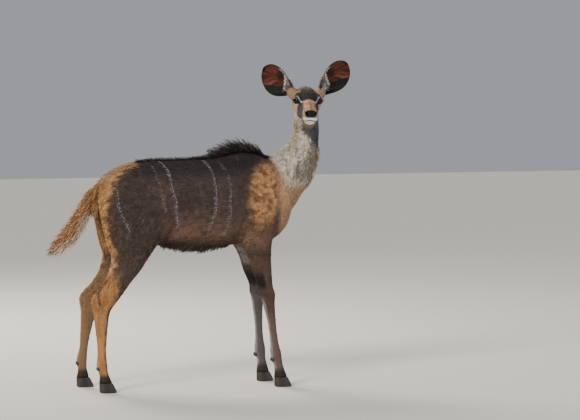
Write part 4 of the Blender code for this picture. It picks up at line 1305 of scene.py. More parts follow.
def coat_colours(points, normals):
    """The colour of the animal at each point, before its stripes' tufts are added."""
    colours = body_colours(points, normals)
    paint(colours, "#87838c", 0.75 * stripe_strength(points) * (abs(normals[:, 2]) < 0.97))
    neck = ramp(-0.012, 0.020, beyond(points, NECK_POINT, NECK_NORMAL)) * (points[:, 2] > 0.70)
    colours += (neck_colours(points, normals) - colours) * neck[:, None]
    tail = on_the_tail(points)
    colours[tail] = tail_colours(points[tail], normals[tail])
    top = points[:, 2] > 1.03
    head_share = ramp(-0.010, 0.015, beyond(points[top], THROAT_POINT, THROAT_NORMAL))
    colours[top] += (head_colours(points[top], normals[top]) - colours[top]) * head_share[:, None]
    for side in SIDES.values():
        ear = on_ear(side, points) & (points[:, 2] > 1.1)
        colours[ear] = ear_colours(side, points[ear], normals[ear])
    return colours


# %% Paint the skin
def add_colours(mesh, colours):
    """Writes a colour for each vertex, which the materials read by this name."""
    attribute = mesh.color_attributes.new("coat", "FLOAT_COLOR", "POINT")
    values = np.ones((len(mesh.vertices), 4))
    values[:, :3] = colours
    attribute.data.foreach_set("color", values.ravel())


SKIN_POINTS = vertex_array(skin.data)
SKIN_NORMALS = normal_array(skin.data)
add_colours(skin.data, coat_colours(SKIN_POINTS, SKIN_NORMALS))
head_f, head_u, head_l = head_coordinates(SKIN_POINTS)
moist = skin.data.attributes.new("moist", "FLOAT", "POINT")
moist.data.foreach_set("value", nose_pad(head_f, head_u, abs(head_l)) * on_the_head(SKIN_POINTS))
print("skin painted", len(SKIN_POINTS), "points")

# %% [markdown]
# Hair lies in streams: back over the trunk, down the legs and the neck, from the nose
# over the forehead, and out along the ears. A wanted direction is set for each region,
# spread to its neighbours so the streams join, and laid flat on the skin.

# %% Lie of the coat
def unit(vectors):
    return vectors / np.maximum(np.linalg.norm(vectors, axis=1, keepdims=True), 1e-9)


def wanted_lie(points, normals):
    """The way that the hair should point at each place, before it is laid on the skin."""
    x, y, z = points.T
    lie = np.tile((-1.0, 0.0, -0.30), (len(points), 1))

    def lead(direction, weight):
        lie[:] += (np.array(direction) - lie) * np.clip(weight, 0.0, 1.0).reshape(-1, 1)

    lead((-1.0, 0.0, 0.0), ramp(0.3, 0.8, abs(normals[:, 2])))
    lead((-0.45, 0.0, -0.9), ramp(0.82, 0.66, z) * ramp(-0.10, -0.20, x))
    lead((-0.45, 0.0, -0.9), ramp(0.86, 0.70, z) * ramp(0.13, 0.20, x))
    lead((0.0, 0.0, -1.0), ramp(-0.39, -0.43, x))
    lead((0.0, 0.0, -1.0), ramp(0.60, 0.54, z))
    lead((-0.35, 0.0, -0.94), on_the_neck(points) * 1.0)
    lead((-0.72, 0.0, -0.69), on_the_tail(points) * 1.0)
    f, u, l = head_coordinates(points)
    lead(-AHEAD, on_the_head(points) * 1.0)
    lead(-AHEAD - UP * 0.5, on_the_head(points) * ramp(-0.03, -0.06, u))
    for side in SIDES.values():
        lead(ear_axes(side)[0], on_ear(side, points) * (z > 1.1))
    return lie


def laid(lie, normals):
    return unit(lie - normals * np.sum(lie * normals, axis=1, keepdims=True))


SKIN_LIE = laid(wanted_lie(SKIN_POINTS, SKIN_NORMALS), SKIN_NORMALS)
ends, count = neighbours(skin.data)
for k in range(10):
    SKIN_LIE = laid(SKIN_LIE + 2 * neighbour_mean(SKIN_LIE, ends, count), SKIN_NORMALS)

# %% [markdown]
# A coat can be particle hair, hair curves or modelled tufts. Only meshes survive the
# export, so tufts are modelled: each is a thin, three-sided blade that tapers to a
# point. There are far too many to make one by one, so arrays of numbers work out all
# blades of a piece at once and fill its mesh.

# %% Even scatter over the skin
FACES = read(skin.data.loops, "vertex_index", 1, int).reshape(-1, 3)
FACE_POINTS = SKIN_POINTS[FACES]
FACE_MIDDLES = FACE_POINTS.mean(axis=1)
FACE_CROSS = np.cross(FACE_POINTS[:, 1] - FACE_POINTS[:, 0], FACE_POINTS[:, 2] - FACE_POINTS[:, 0])
FACE_AREAS = np.linalg.norm(FACE_CROSS, axis=1) / 2
FACE_NORMALS = unit(FACE_CROSS)


def scatter(chosen, count, rng, density=1.0):
    """Roots spread by area over some of the skin's triangles: their places, normals and lie."""
    faces = np.flatnonzero(chosen)
    share = np.cumsum(FACE_AREAS[faces] * (density[faces] if np.ndim(density) else 1.0))
    hits = (np.arange(count) + rng.random(count)) / count * share[-1]
    faces = faces[np.minimum(np.searchsorted(share, hits), len(faces) - 1)]
    a, b = rng.random((2, count))
    folded = a + b > 1
    a[folded] = 1 - a[folded]
    b[folded] = 1 - b[folded]
    weights = np.stack([1 - a - b, a, b], axis=1)[:, :, None]
    roots, normals, lie = [np.sum(values[FACES[faces]] * weights, axis=1)
                           for values in (SKIN_POINTS, SKIN_NORMALS, SKIN_LIE)]
    return roots, unit(normals), laid(lie, unit(normals))


def varied(values, spread, rng, count):
    """Values scaled at random by up to this spread either way."""
    return values * (1.0 + spread * (2.0 * rng.random(count) - 1.0))


# %% Blades of hair
ROOT_SINK = 0.0012
PATCH = 0.003
coat_pieces = []


def blades(name, roots, normals, lie, length, width, colours, places, rng,
           lift=0.30, sag=0.12, yaw=12.0, levels=2, thickness=0.30, curl=0.06, tip=1.12, dark=0.62,
           contrast=0.50):
    """Tapered three-sided blades as one piece, with their colours and their bake map."""
    number = len(roots)
    turn = np.radians(yaw) * (2 * rng.random(number) - 1)[:, None]
    side = unit(np.cross(lie, normals))
    along = lie * np.cos(turn) + side * np.sin(turn)
    side = np.cross(along, normals)
    rise = varied(lift, 0.35, rng, number)[:, None]
    bend = curl * (2 * rng.random(number) - 1)[:, None]
    length = np.reshape(length, (-1, 1))
    width = np.reshape(width, (-1, 1))
    tone = (1.0 + contrast * (rng.random(number) - 0.5))[:, None]
    tone *= 1.0 + 0.9 * contrast * (cloud(roots, 0.011) - 0.5)[:, None]
    per_blade = levels * 3 + 1
    points = np.empty((number, per_blade, 3))
    shades = np.empty((number, per_blade, 3))
    patch = np.empty((number, per_blade, 2))
    for level in range(levels + 1):
        t = level / levels
        middle = roots + along * length * t + normals * length * (rise * t - sag * t * t) \
            + side * length * bend * t * t - normals * ROOT_SINK
        half = width / 2 * (0.70 + 0.60 * t) * math.sqrt(1.0 - t * t)
        shade = colours * tone * (dark + (1.0 - dark) * min(1.0, 2 * t) + (tip - 1.0) * t)
        corners = ((-1.0, 0.0), (1.0, 0.0), (0.0, 1.0)) if level < levels else ((0.0, 0.0),)
        for k, (over, high_share) in enumerate(corners):
            slot = level * 3 + k
            points[:, slot] = middle + side * half * over + normals * half * 2 * thickness * high_share
            shades[:, slot] = shade
            patch[:, slot] = places + PATCH * np.array((over / 2, t - 0.5))
    corner = [(1, 0, 2)]
    for level in range(levels - 1):
        for k in range(3):
            a, b = level * 3 + k, level * 3 + (k + 1) % 3
            corner += [(a, b, b + 3), (a, b + 3, a + 3)]
    for k in range(3):
        corner.append(((levels - 1) * 3 + k, (levels - 1) * 3 + (k + 1) % 3, levels * 3))
    corner = np.array(corner)
    faces = (corner[None] + (np.arange(number) * per_blade)[:, None, None]).reshape(-1, 3)
    fill_piece(name, points.reshape(-1, 3), faces, shades.reshape(-1, 3), patch.reshape(-1, 2))


def fill_piece(name, points, faces, shades, patch):
    """A piece of the coat from arrays of points, triangles, colours and map places."""
    mesh = bpy.data.meshes.new(name)
    mesh.vertices.add(len(points))
    mesh.vertices.foreach_set("co", points.ravel())
    mesh.loops.add(faces.size)
    mesh.loops.foreach_set("vertex_index", faces.ravel())
    mesh.polygons.add(len(faces))
    mesh.polygons.foreach_set("loop_start", np.arange(len(faces)) * 3)
    mesh.polygons.foreach_set("loop_total", np.full(len(faces), 3))
    mesh.polygons.foreach_set("use_smooth", np.ones(len(faces), bool))
    mesh.update(calc_edges=True)
    add_colours(mesh, shades)
    bake = mesh.uv_layers.new(name="OFBake")
    bake.data.foreach_set("uv", patch[faces.ravel()].ravel())
    thing = bpy.data.objects.new(name, mesh)
    bpy.context.scene.collection.objects.link(thing)
    coat_pieces.append(thing)
    print(name, len(faces), "triangles")


def locks(name, roots, normals, lie, length, width, colours, places, rng,
          spread=0.3, width_spread=0.3, levels=4, **shape):
    """Blades whose lengths and widths vary from hair to hair."""
    length = varied(length, spread, rng, len(roots))
    width = varied(width, width_spread, rng, len(roots))
    blades(name, roots, normals, lie, length, width, colours, places(roots), rng, levels=levels, **shape)


def wrapped(points, origin, axis, spoke, low, high, window=(0.01, 0.01, 0.98, 0.98)):
    """Places on an unwrap round an axis: along it between low and high, and round it."""
    axis = np.array(Vector(axis).normalized())
    spoke = np.array(spoke) - axis * np.dot(spoke, axis)
    spoke = spoke / np.linalg.norm(spoke)
    apart = points - np.array(origin)
    round_share = np.arctan2(apart @ np.cross(axis, spoke), apart @ spoke) / math.tau + 0.5
    along_share = np.clip((apart @ axis - low) / (high - low), 0.0, 1.0)
    return np.stack([window[0] + window[2] * along_share, window[1] + window[3] * round_share], axis=1)


# %% Zones of the skin's triangles
fx, fy, fz = FACE_MIDDLES.T
IN_HEAD = on_the_head(FACE_MIDDLES)
IN_EAR = {side: on_ear(side, FACE_MIDDLES) & (fz > 1.1) for side in (1, -1)}
IN_NECK = on_the_neck(FACE_MIDDLES)
IN_TAIL = on_the_tail(FACE_MIDDLES)
IN_LEG = (fz < LEG_TOP) & ~IN_TAIL
IN_TRUNK = ~IN_HEAD & ~IN_NECK & ~IN_TAIL & ~IN_LEG
head_f, head_u, head_l = head_coordinates(FACE_MIDDLES)
EYE_REACH = distance_to(FACE_MIDDLES, [eye_centre(1), eye_centre(-1)])
LID_RIM = np.minimum(eye_rim(1, FACE_MIDDLES), eye_rim(-1, FACE_MIDDLES))
BARE = (nose_pad(head_f, head_u, abs(head_l)) > 0.5) | ((EYE_REACH < 0.032) & (LID_RIM < 1.02)) \
    | (distance_to(FACE_MIDDLES, mouth_path) < 0.0035)
for side in SIDES.values():
    IN_HEAD &= ~IN_EAR[side]
    BARE |= distance_to(FACE_MIDDLES, [both_sides(NOSTRIL, side)]) < 0.011
BARE &= ~(IN_EAR[1] | IN_EAR[-1])
print("square metres of trunk", round(FACE_AREAS[IN_TRUNK].sum(), 3),
      "neck", round(FACE_AREAS[IN_NECK].sum(), 3), "head", round(FACE_AREAS[IN_HEAD].sum(), 3))

# %% [markdown]
# The short coat: fifteen millimetre tufts on the trunk, longer on the neck and shorter
# down the legs and over the face, where they are smallest at the lips.

# %% Short coat
def short_coat(name, chosen, number, seed, size, places, density=1.0, **shape):
    """Tufts over some of the skin; size is their length and width, or gives both at each root."""
    rng = np.random.default_rng(seed)
    roots, normals, lie = scatter(chosen, number, rng, density)
    length, width = size(roots) if callable(size) else size
    locks(name, roots, normals, lie, length, width, coat_colours(roots, normals), places, rng,
          spread=0.25, width_spread=0.25, levels=2, **shape)


def trunk_size(roots):
    rump = ramp(-0.36, -0.42, roots[:, 0])
    return 0.0145 + 0.005 * rump, 0.0042


def leg_size(roots):
    share = ramp(0.10, 0.50, roots[:, 2])
    return 0.0070 + 0.006 * share, 0.0030 + 0.001 * share


def head_size(roots):
    f, u, l = head_coordinates(roots)
    share = ramp(0.12, 0.02, f)
    back = ramp(-0.02, -0.08, f)
    throat = ramp(0.040, 0.0, beyond(roots, THROAT_POINT, THROAT_NORMAL))
    return (0.0034 + 0.0034 * share + 0.0045 * back + 0.0090 * throat,
            0.0013 + 0.0006 * share + 0.0005 * back + 0.0016 * throat)


def trunk_places(roots):
    return wrapped(roots, (0.0, 0.0, 0.78), (1, 0, 0), (0, 0, -1), -0.46, 0.41)


def neck_places(roots):
    return wrapped(roots, (0.40, -0.01, 0.95), (0.17, -0.04, 0.60), (1, 0, 0), -0.30, 0.25)


def head_places(roots):
    return wrapped(roots, on_head(0.0, -0.02, 0.0), AHEAD, -UP, -0.12, 0.14)


def leg_places(middle_x):
    """Each of the two legs unwrapped round its own axis, side by side on the map."""
    def places(roots):
        out = np.empty((len(roots), 2))
        for side, start in ((1, 0.01), (-1, 0.51)):
            here = roots[:, 1] * side > 0
            out[here] = wrapped(roots[here], (middle_x, side * 0.095, 0.0), (0, 0, 1), (0, -side, 0),
                                0.03, 0.56, (0.01, start, 0.98, 0.48))
        return out
    return places


short_coat("coat_trunk_right", IN_TRUNK & (fy < 0), 19500, 21, trunk_size, trunk_places)
short_coat("coat_trunk_left", IN_TRUNK & (fy >= 0), 19500, 22, trunk_size, trunk_places)
short_coat("coat_neck", IN_NECK, 17000, 23, (0.019, 0.0042), neck_places, lift=0.26)
short_coat("coat_hindlegs", IN_LEG & (fx < 0), 14000, 24, leg_size, leg_places(-0.42), lift=0.20)
short_coat("coat_forelegs", IN_LEG & (fx > 0), 12000, 25, leg_size, leg_places(0.29), lift=0.20)
face_density = 1.0 + 1.6 * ramp(0.02, 0.10, head_f)
short_coat("coat_head", IN_HEAD & ~BARE, 19500, 26, head_size, head_places, face_density,
           lift=0.20, contrast=0.65)
# Curled tufts over the shoulder, where sunlight is painted as a tan patch
ragged_reach = sunlit_patch_reach(fx, fz) + 0.30 * (cloud(FACE_MIDDLES, 0.02) - 0.5)
on_sunlit_patch = IN_TRUNK & (ragged_reach < 0.95) & (abs(fy) > 0.03)
short_coat("shoulder_curls", on_sunlit_patch, 3600, 27, (0.016, 0.0031), trunk_places,
           lift=0.36, yaw=34, curl=0.35, contrast=0.80, dark=0.42, tip=1.12)
print("coat pieces", len(coat_pieces))

# %% [markdown]
# The back of an ear wears short hair that points to its tip. Long, pale hairs spring from the funnel's
# inner rim and lie across the cup, which is painted red-brown for sunlight shining through it, and
# darker ones edge it.

# %% Hair of the ears
def ear_places(side, inner):
    """The two faces of an ear, each flat on its own quarter of the map."""
    def places(roots):
        t, across, out = ear_coordinates(side, roots)
        start = 0.01 + 0.49 * (side > 0) + 0.24 * inner
        return np.stack([start + 0.23 * np.clip((across + 0.07) / 0.14, 0.0, 1.0),
                         0.02 + 0.95 * np.clip(t, 0.0, 1.0)], axis=1)
    return places


def cup_side(side):
    """How much each triangle of the skin faces into the ear's cup."""
    return FACE_NORMALS @ np.array(ear_axes(side)[2])


for word, side in SIDES.items():
    short_coat(f"coat_ear_{word}", IN_EAR[side] & (cup_side(side) < 0.05), 4200, 30 + side,
               (0.0085, 0.0026), ear_places(side, 0), lift=0.16, thickness=0.2)
    short_coat(f"down_ear_{word}", IN_EAR[side] & (cup_side(side) > 0.3), 4200, 40 + side,
               (0.0095, 0.0011), ear_places(side, 1), lift=0.07, sag=0.04, thickness=0.12,
               contrast=0.8, yaw=7, dark=0.9)


def mixed_hair(rng, number, code, *mixes):
    """One hex colour for many hairs, and others mixed in by a weight for a share of them."""
    colours = plain(code, number)
    for other, weight, share in mixes:
        paint(colours, other, weight * (rng.random(number) < share))
    return colours


def ear_fringe(side, word):
    """Long grey hairs fanned out from deep in the funnel, and short white ones along the upper rim."""
    rng = np.random.default_rng(50 + side)
    run, wide, face = [np.array(axis) for axis in ear_axes(side)]
    t, across, out = ear_coordinates(side, FACE_MIDDLES)
    upper_rim = -0.80 * ear_half_widths(t)
    funnel = IN_EAR[side] & (cup_side(side) > 0.0) & (t > 0.03) & (t < tuft_edge(across) - 0.05) \
        & (across < 0.016) & (across > upper_rim)
    rim = IN_EAR[side] & (cup_side(side) > -0.3) & (t > 0.30) & (t < 0.62) & (across < upper_rim)
    roots, normals, lie = scatter(funnel, 1250, rng)
    t, across, out = ear_coordinates(side, roots)
    fan = (across / 0.055 + 0.05)[:, None]
    aim = laid(unit(run - side * wide * fan + face * 0.1), normals)
    left_over = np.clip((tuft_edge(across) + 0.02 - t) * EAR_LENGTH, 0.012, 0.040)
    colours = mixed_hair(rng, len(roots), "#7d7572", ("#4f4743", 0.8, 0.35), ("#d8d0c6", 0.8, 0.20))
    in_cup = ear_places(side, 1)
    locks(f"ear_fringe_{word}", roots, normals, aim, left_over, 0.0010, colours, in_cup, rng,
          spread=0.25, lift=0.14, sag=0.12, yaw=12, curl=0.12, tip=1.5, dark=0.6, levels=3)
    roots, normals, lie = scatter(rim, 130, rng)
    aim = laid(np.tile(run * 0.9 - side * wide * 0.35 + face * 0.1, (len(roots), 1)), normals)
    colours = mixed_hair(rng, len(roots), "#d5ccc0", ("#5a514c", 0.8, 0.25))
    locks(f"ear_rim_{word}", roots, normals, aim, 0.009, 0.0013, colours, in_cup, rng,
          lift=0.12, sag=0.10, yaw=14, levels=2)


for word, side in SIDES.items():
    ear_fringe(side, word)

# %% [markdown]
# A kudu's mane is a thin crest of long dark hair on the withers, which runs on as a low
# dark line over the loin and turns tan on the rump. A fringe hangs under the throat and
# along the belly. The tail's bone is slim and its brush wide.

# %% Mane and spine
def crest(name, chosen, number, seed, length, width, lean, colour, **shape):
    """Hair that stands up along the back and leans; its length follows from its place along X."""
    rng = np.random.default_rng(seed)
    roots, normals, lie = scatter(chosen, number, rng)
    colours = mixed_hair(rng, number, colour, ("#6b5140", 0.5, 0.18))
    locks(name, roots, normals, laid(np.tile(lean, (number, 1)), normals), length(roots[:, 0]), width,
          colours, trunk_places, rng, **shape)


MANE_PLACES = (0.0, 0.05, 0.09, 0.14, 0.19, 0.235, 0.275, 0.31)
MANE_HEIGHTS = (0.30, 0.36, 0.75, 0.94, 1.0, 0.88, 0.60, 0.30)


def mane_length(x):
    return 0.058 * np.interp(x, MANE_PLACES, MANE_HEIGHTS)


def spine_length(x):
    return 0.022 * ramp(-0.30, -0.24, x)


def rump_length(x):
    return 0.020


upper_side = FACE_NORMALS[:, 2] > 0.35
on_withers = upper_side & (fx > -0.02) & (fx < 0.305) & (abs(fy) < 0.018) & (fz > 0.90)
on_spine = upper_side & (fx > -0.285) & (fx < 0.02) & (abs(fy) < 0.012) & (fz > 0.84)
on_rump = upper_side & (fx > -0.46) & (fx < -0.265) & (abs(fy) < 0.050) & (fz > 0.84)
crest("mane", on_withers, 820, 61, mane_length, 0.0050, (-1.0, 0.0, 0.12), "#1d1b20",
      spread=0.25, lift=0.98, sag=0.26, yaw=14, contrast=0.9)
crest("spine_hair", on_spine, 700, 62, spine_length, 0.0030, (-1.0, 0.0, 0.0), "#171516",
      spread=0.4, lift=0.66, sag=0.20, yaw=16)
crest("rump_hair", on_rump, 900, 63, rump_length, 0.0032, (-1.0, 0.0, 0.0), "#9c7a5c",
      spread=0.4, lift=0.42, sag=0.16, yaw=20)

# %% Fringes of the belly and the throat
def belly_fringe():
    rng = np.random.default_rng(64)
    under = (FACE_NORMALS[:, 2] < -0.70) & (fx > -0.165) & (fx < 0.125) & (abs(fy) < 0.060) & (fz > 0.56)
    number = 620
    roots, normals, lie = scatter(under, number, rng)
    hang = unit(np.array((-0.70, 0.0, -0.72)) + 0.22 * (rng.random((number, 3)) - 0.5))
    out = unit(np.stack([0.1 * rng.standard_normal(number), np.where(roots[:, 1] > 0, 1.0, -1.0),
                         np.zeros(number)], axis=1))
    out = laid(out, hang)
    swell = np.sin(np.pi * np.clip((roots[:, 0] + 0.17) / 0.30, 0.05, 0.95)) ** 0.5
    ragged = 0.35 + 1.1 * cloud(roots, 0.016)
    colours = mixed_hair(rng, number, "#4d3b31", ("#2a201b", 0.8, 0.45))
    locks("belly_fringe", roots, out, hang, 0.034 * (0.4 + 0.6 * swell) * ragged, 0.0032, colours,
          trunk_places, rng, spread=0.25, lift=0.05, sag=0.10, yaw=14, tip=0.55, dark=1.1)


def throat_fringe():
    rng = np.random.default_rng(65)
    front = IN_NECK & (FACE_NORMALS[:, 0] > 0.45) & (abs(FACE_NORMALS[:, 1]) < 0.6)
    front &= (fz > 0.86) & (fz < 1.02)
    number = 560
    roots, normals, lie = scatter(front, number, rng)
    colours = mixed_hair(rng, number, "#c4ad8e", ("#6a5443", 0.8, 0.40))
    down = laid(np.tile((-0.1, 0.0, -1.0), (number, 1)), normals)
    locks("throat_fringe", roots, normals, down, 0.032, 0.0030, colours, neck_places, rng,
          spread=0.35, lift=0.46, sag=0.20, yaw=14)


belly_fringe()
throat_fringe()

# %% Tail brush
def tail_places(roots):
    return wrapped(roots, (-0.53, 0.0, 0.70), (-0.72, 0.0, -0.69), (0.69, 0.0, -0.72), -0.16, 0.18)


def tail_brush(name, spread, number, seed, length, lift):
    """One layer of hair over the dock, longest at its middle."""
    rng = np.random.default_rng(seed)
    dock = IN_TAIL | ((fx < -0.425) & (fz > 0.76) & (abs(fy) < 0.035))
    roots, normals, lie = scatter(dock, number, rng)
    run = np.clip((-0.43 - roots[:, 0]) / 0.19, 0.0, 1.0)
    colours = tail_colours(roots, normals)
    paint(colours, "#5b3d28", 0.6 * (rng.random(number) < 0.25) * (run < 0.8))
    along = laid(np.tile((-0.72, 0.0, -0.69), (number, 1)), normals)
    full = 0.55 + 0.45 * np.sin(np.pi * np.clip(run * 0.9 + 0.05, 0.0, 1.0))
    locks(name, roots, normals, along, length * full, 0.0030, colours, tail_places, rng,
          spread=spread, lift=lift, sag=lift * 0.50, yaw=17, curl=0.10)


tail_brush("tail_underhair", 0.30, 3600, 66, 0.042, 0.78)
tail_brush("tail_brush", 0.25, 2300, 67, 0.066, 0.62)

# %% Crown tuft and lashes
def crown_tuft():
    rng = np.random.default_rng(68)
    number = 2700
    place = IN_HEAD & (head_f < 0.036) & (head_f > -0.095) & (head_u > -0.004) & (abs(head_l) < 0.062)
    roots, normals, lie = scatter(place, number, rng)
    f, u, l = head_coordinates(roots)
    colours = coat_colours(roots, normals)
    paint(colours, "#2c221c", 0.6 * (rng.random(number) < 0.22))
    length = 0.0085 + 0.0075 * ramp(0.01, -0.05, f) * ramp(0.045, 0.02, abs(l))
    locks("crown_tuft", roots, normals, lie, length, 0.0013, colours, head_places, rng,
          spread=0.35, lift=0.34, sag=0.18, yaw=26, contrast=0.8, levels=2)


def lashes(side, word):
    """Fine dark hairs that fan out from the upper lid."""
    rng = np.random.default_rng(70 + side)
    out, along, high_axis = [np.array(axis) for axis in eye_axes(side)]
    number = 44
    share = np.linspace(-0.85, 0.85, number) + 0.02 * rng.standard_normal(number)
    rise = (LID_RISE + 0.0018) * np.cos(share * math.pi / 2) ** 0.9 + 0.0008
    reach = LID_REACH * share
    lift = np.sqrt(LID_RADIUS ** 2 - rise ** 2 - reach ** 2)
    roots = np.array(eye_centre(side)) + out * (lift - 0.001)[:, None] + along * reach[:, None] \
        + high_axis * rise[:, None]
    aim = unit(out * 0.85 + along * (0.9 * share)[:, None] - high_axis * 0.25)
    upward = laid(np.tile(high_axis, (number, 1)), aim)
    black = plain("#0d0b0b", number)
    locks(f"lashes_{word}", roots, upward, aim, 0.0090, 0.0006, black, head_places, rng,
          spread=0.2, width_spread=0.2, lift=0.05, sag=-0.35, yaw=8, thickness=0.6)


crown_tuft()
for word, side in SIDES.items():
    lashes(side, word)

# %% [markdown]
# A stripe is white hair in a darker coat, so besides the painted tufts a layer of thin
# white ones grows along each line, which keeps its edge crisp.

# %% White hair of the stripes
def stripe_hair():
    rng = np.random.default_rng(80)
    strength = stripe_strength(FACE_MIDDLES)
    striped = IN_TRUNK & (strength > 0.15) & (abs(FACE_NORMALS[:, 2]) < 0.93)
    roots, normals, lie = scatter(striped, 6000, rng, strength)
    power = stripe_strength(roots)
    keep = power > 0.30
    roots, normals, lie, power = roots[keep], normals[keep], lie[keep], power[keep]
    colours = coat_colours(roots, normals)
    paint(colours, "#a7a2ab", 0.30 + 0.65 * power)
    down = laid(lie * 0.12 + np.array((0.0, 0.0, -1.0)), normals)
    locks("stripe_hair", roots, normals, down, 0.0090, 0.0012, colours, trunk_places, rng,
          spread=0.25, width_spread=0.25, levels=2, lift=0.36, sag=0.12, yaw=5, dark=0.85, contrast=0.3)


stripe_hair()

# %% [markdown]
# An eye is a glossy ball under a clear dome. The dome is a small swelling at the front,
# and the pupil of a hoofed animal is a level bar, painted with the iris on the mesh.

# %% Eyes
DOME = 0.0009
PUPIL = (0.0088, 0.0042)
IRIS = 0.0140


def eyeball(side, word):
    out, along, high_axis = eye_axes(side)
    bm = bmesh.new()
    bmesh.ops.create_uvsphere(bm, u_segments=64, v_segments=44, radius=EYE_RADIUS)
    spots = np.array([vert.co for vert in bm.verts])
    for vert in bm.verts:
        vert.co *= 1.0 + DOME / EYE_RADIUS * float(ramp(0.55, 0.95, vert.co.z / EYE_RADIUS))
    turned = Matrix((along, high_axis, out)).transposed().to_4x4()
    bmesh.ops.transform(bm, matrix=Matrix.Translation(eye_centre(side)) @ turned, verts=bm.verts)
    bmesh.ops.recalc_face_normals(bm, faces=bm.faces)
    thing = mesh_piece(f"eyeball_{word}", bm)
    ring = np.hypot(spots[:, 0], spots[:, 1])
    bar = np.hypot(spots[:, 0] / PUPIL[0], spots[:, 1] / PUPIL[1])
    front = spots[:, 2] > 0
    add_colours(thing.data, painted("#0c0908", len(spots), [
        ("#2e1c12", front, ramp(IRIS, IRIS - 0.0015, ring), 0.6 + 0.4 * cloud(spots + 1.0, 0.0015)),
        ("#030303", front, ramp(1.15, 0.9, bar)),
    ]))
    thing.data.shade_smooth()
    return thing


eyes = {word: eyeball(side, word) for word, side in SIDES.items()}

# %% [markdown]
# Each foot has two claws of black horn with a flat inner wall, and two dewclaws behind
# the fetlock. A claw's rings are circles moved on to its outline and bridged.

# %% Hooves
HOOF_LENGTH = 0.068
HOOF_WIDTH = 0.0245
HOOF_AHEAD = 0.010
CLEFT = 0.0024
# Height, size and set-back of a claw's rings, from the worn sole edge to the coronet
HOOF_LEVELS = [(0.0, 0.955, 0.0), (0.0012, 0.985, 0.0), (0.004, 0.996, 0.0), (0.010, 0.982, -0.001),
               (0.018, 0.932, -0.003), (0.026, 0.875, -0.005), (0.034, 0.815, -0.007),
               (0.0405, 0.760, -0.009)]


def claw_form(centre_x, centre_y, inner):
    """One claw; inner is 1 where its flat wall faces +Y."""
    bm = bmesh.new()
    rings = []
    for height, size, back in HOOF_LEVELS:
        made = bmesh.ops.create_circle(bm, cap_ends=False, segments=32, radius=1.0)["verts"]
        for vert in made:
            reach = vert.co.x
            if vert.co.y > 0:
                over = HOOF_WIDTH / 2 * vert.co.y * (1.0 - 0.40 * max(0.0, reach) ** 2) * size
            else:
                over = -HOOF_WIDTH / 2 * (1.0 - abs(reach) ** 6) * min(1.0, size + 0.03)
            vert.co = (centre_x + back + HOOF_LENGTH / 2 * size * reach, centre_y - inner * over, height)
        rings.append(list({edge for vert in made for edge in vert.link_edges}))
    close_up(bm, rings)
    return bm


DEWCLAWS = {"hindleg": (-0.4585, 0.101), "foreleg": (0.2915, 0.116)}
claws = {}
dewclaw_forms = []
for leg, (stations, side, foot_step, knee_step) in LEGS.items():
    front, back, half, out = stations[-1]
    centre_x = (front[0] + back[0]) / 2 + foot_step + HOOF_AHEAD
    for place, word in ((-1, "outer"), (1, "inner")):
        inward = -side * place
        node = f"{leg}_claw_{word}"
        middle_y = side * out + inward * (HOOF_WIDTH + CLEFT) / 2
        claws[node] = mesh_piece(f"horn_{node}", claw_form(centre_x, middle_y, -inward))
    back_x, height = DEWCLAWS[leg.split("_")[0]]
    for across_y in (-0.0105, 0.0105):
        centre = Vector((back_x + foot_step * 0.84, side * out + across_y, height))
        axes = (Vector((0.0064, 0, -0.0047)), Vector((0, 0.0048, 0)), Vector((0.0038, 0, 0.0081)))
        dewclaw_forms.append(ball(centre, axes, 16, 12))
dewclaws = mesh_piece("dewclaws", joined(dewclaw_forms))
dewclaws.data.shade_smooth()
print(len(claws), "claws and", len(dewclaw_forms), "dewclaws")

# %% [markdown]
# Hair is a dry, slightly waxy fibre. Its colour comes from the painted markings, broken
# up by patches a few millimetres wide, and a faint sheen gives it the pale edge that a
# coat has against the light.

# %% Hair and skin
def painted_material(name, roughness, grain, strength, sheen, depth):
    """A material coloured by the painted markings, with grain of a real size in metres."""
    made, tree, shader = new_material(name, roughness=roughness)
    paint_node = add_node(tree, "ShaderNodeAttribute", {"attribute_name": "coat"})
    place = add_node(tree, "ShaderNodeTexCoord")
    noise = add_node(tree, "ShaderNodeTexNoise", Vector=place.outputs["Object"], Scale=1.0 / grain,
                     Detail=3.0, Roughness=0.6)
    tone = add_node(tree, "ShaderNodeMapRange", Value=noise.outputs["Fac"], From_Min=0.25, From_Max=0.75,
                    To_Min=1.0 - strength, To_Max=1.0 + strength)
    shaded = add_node(tree, "ShaderNodeVectorMath", {"operation": "SCALE"}, Scale=tone.outputs["Result"])
    tree.links.new(paint_node.outputs["Color"], shaded.inputs[0])
    tree.links.new(shaded.outputs[0], shader.inputs["Base Color"])
    bump = add_node(tree, "ShaderNodeBump", Strength=0.5, Distance=depth, Height=noise.outputs["Fac"])
    tree.links.new(bump.outputs["Normal"], shader.inputs["Normal"])
    shader.inputs["Sheen Weight"].default_value = sheen
    shader.inputs["Sheen Roughness"].default_value = 0.5
    shader.inputs["Specular IOR Level"].default_value = 0.25
    return made, tree, shader


# Dry hair, fine as 0.1 mm in life, with its grain drawn at 2.5 mm so that it shows
hair, tree, shader = painted_material("dry_hair", 0.60, 0.0025, 0.18, 0.02, 0.0003)
# Hide under short hair: the same colour, rougher, with a grain of 1.5 mm
hide, tree, shader = painted_material("haired_hide", 0.70, 0.0015, 0.20, 0.02, 0.0004)
# The bare nose is always moist, so it shines where the hide is dull
moist_node = add_node(tree, "ShaderNodeAttribute", {"attribute_name": "moist"})
gloss = add_node(tree, "ShaderNodeMapRange", Value=moist_node.outputs["Fac"], To_Min=0.70, To_Max=0.28)
tree.links.new(gloss.outputs["Result"], shader.inputs["Roughness"])

# %% [markdown]
# The eye's film of tears is as smooth as glass. Hoof horn is black keratin, satin where
# it is worn, with growth rings a few millimetres apart that run round the claw.

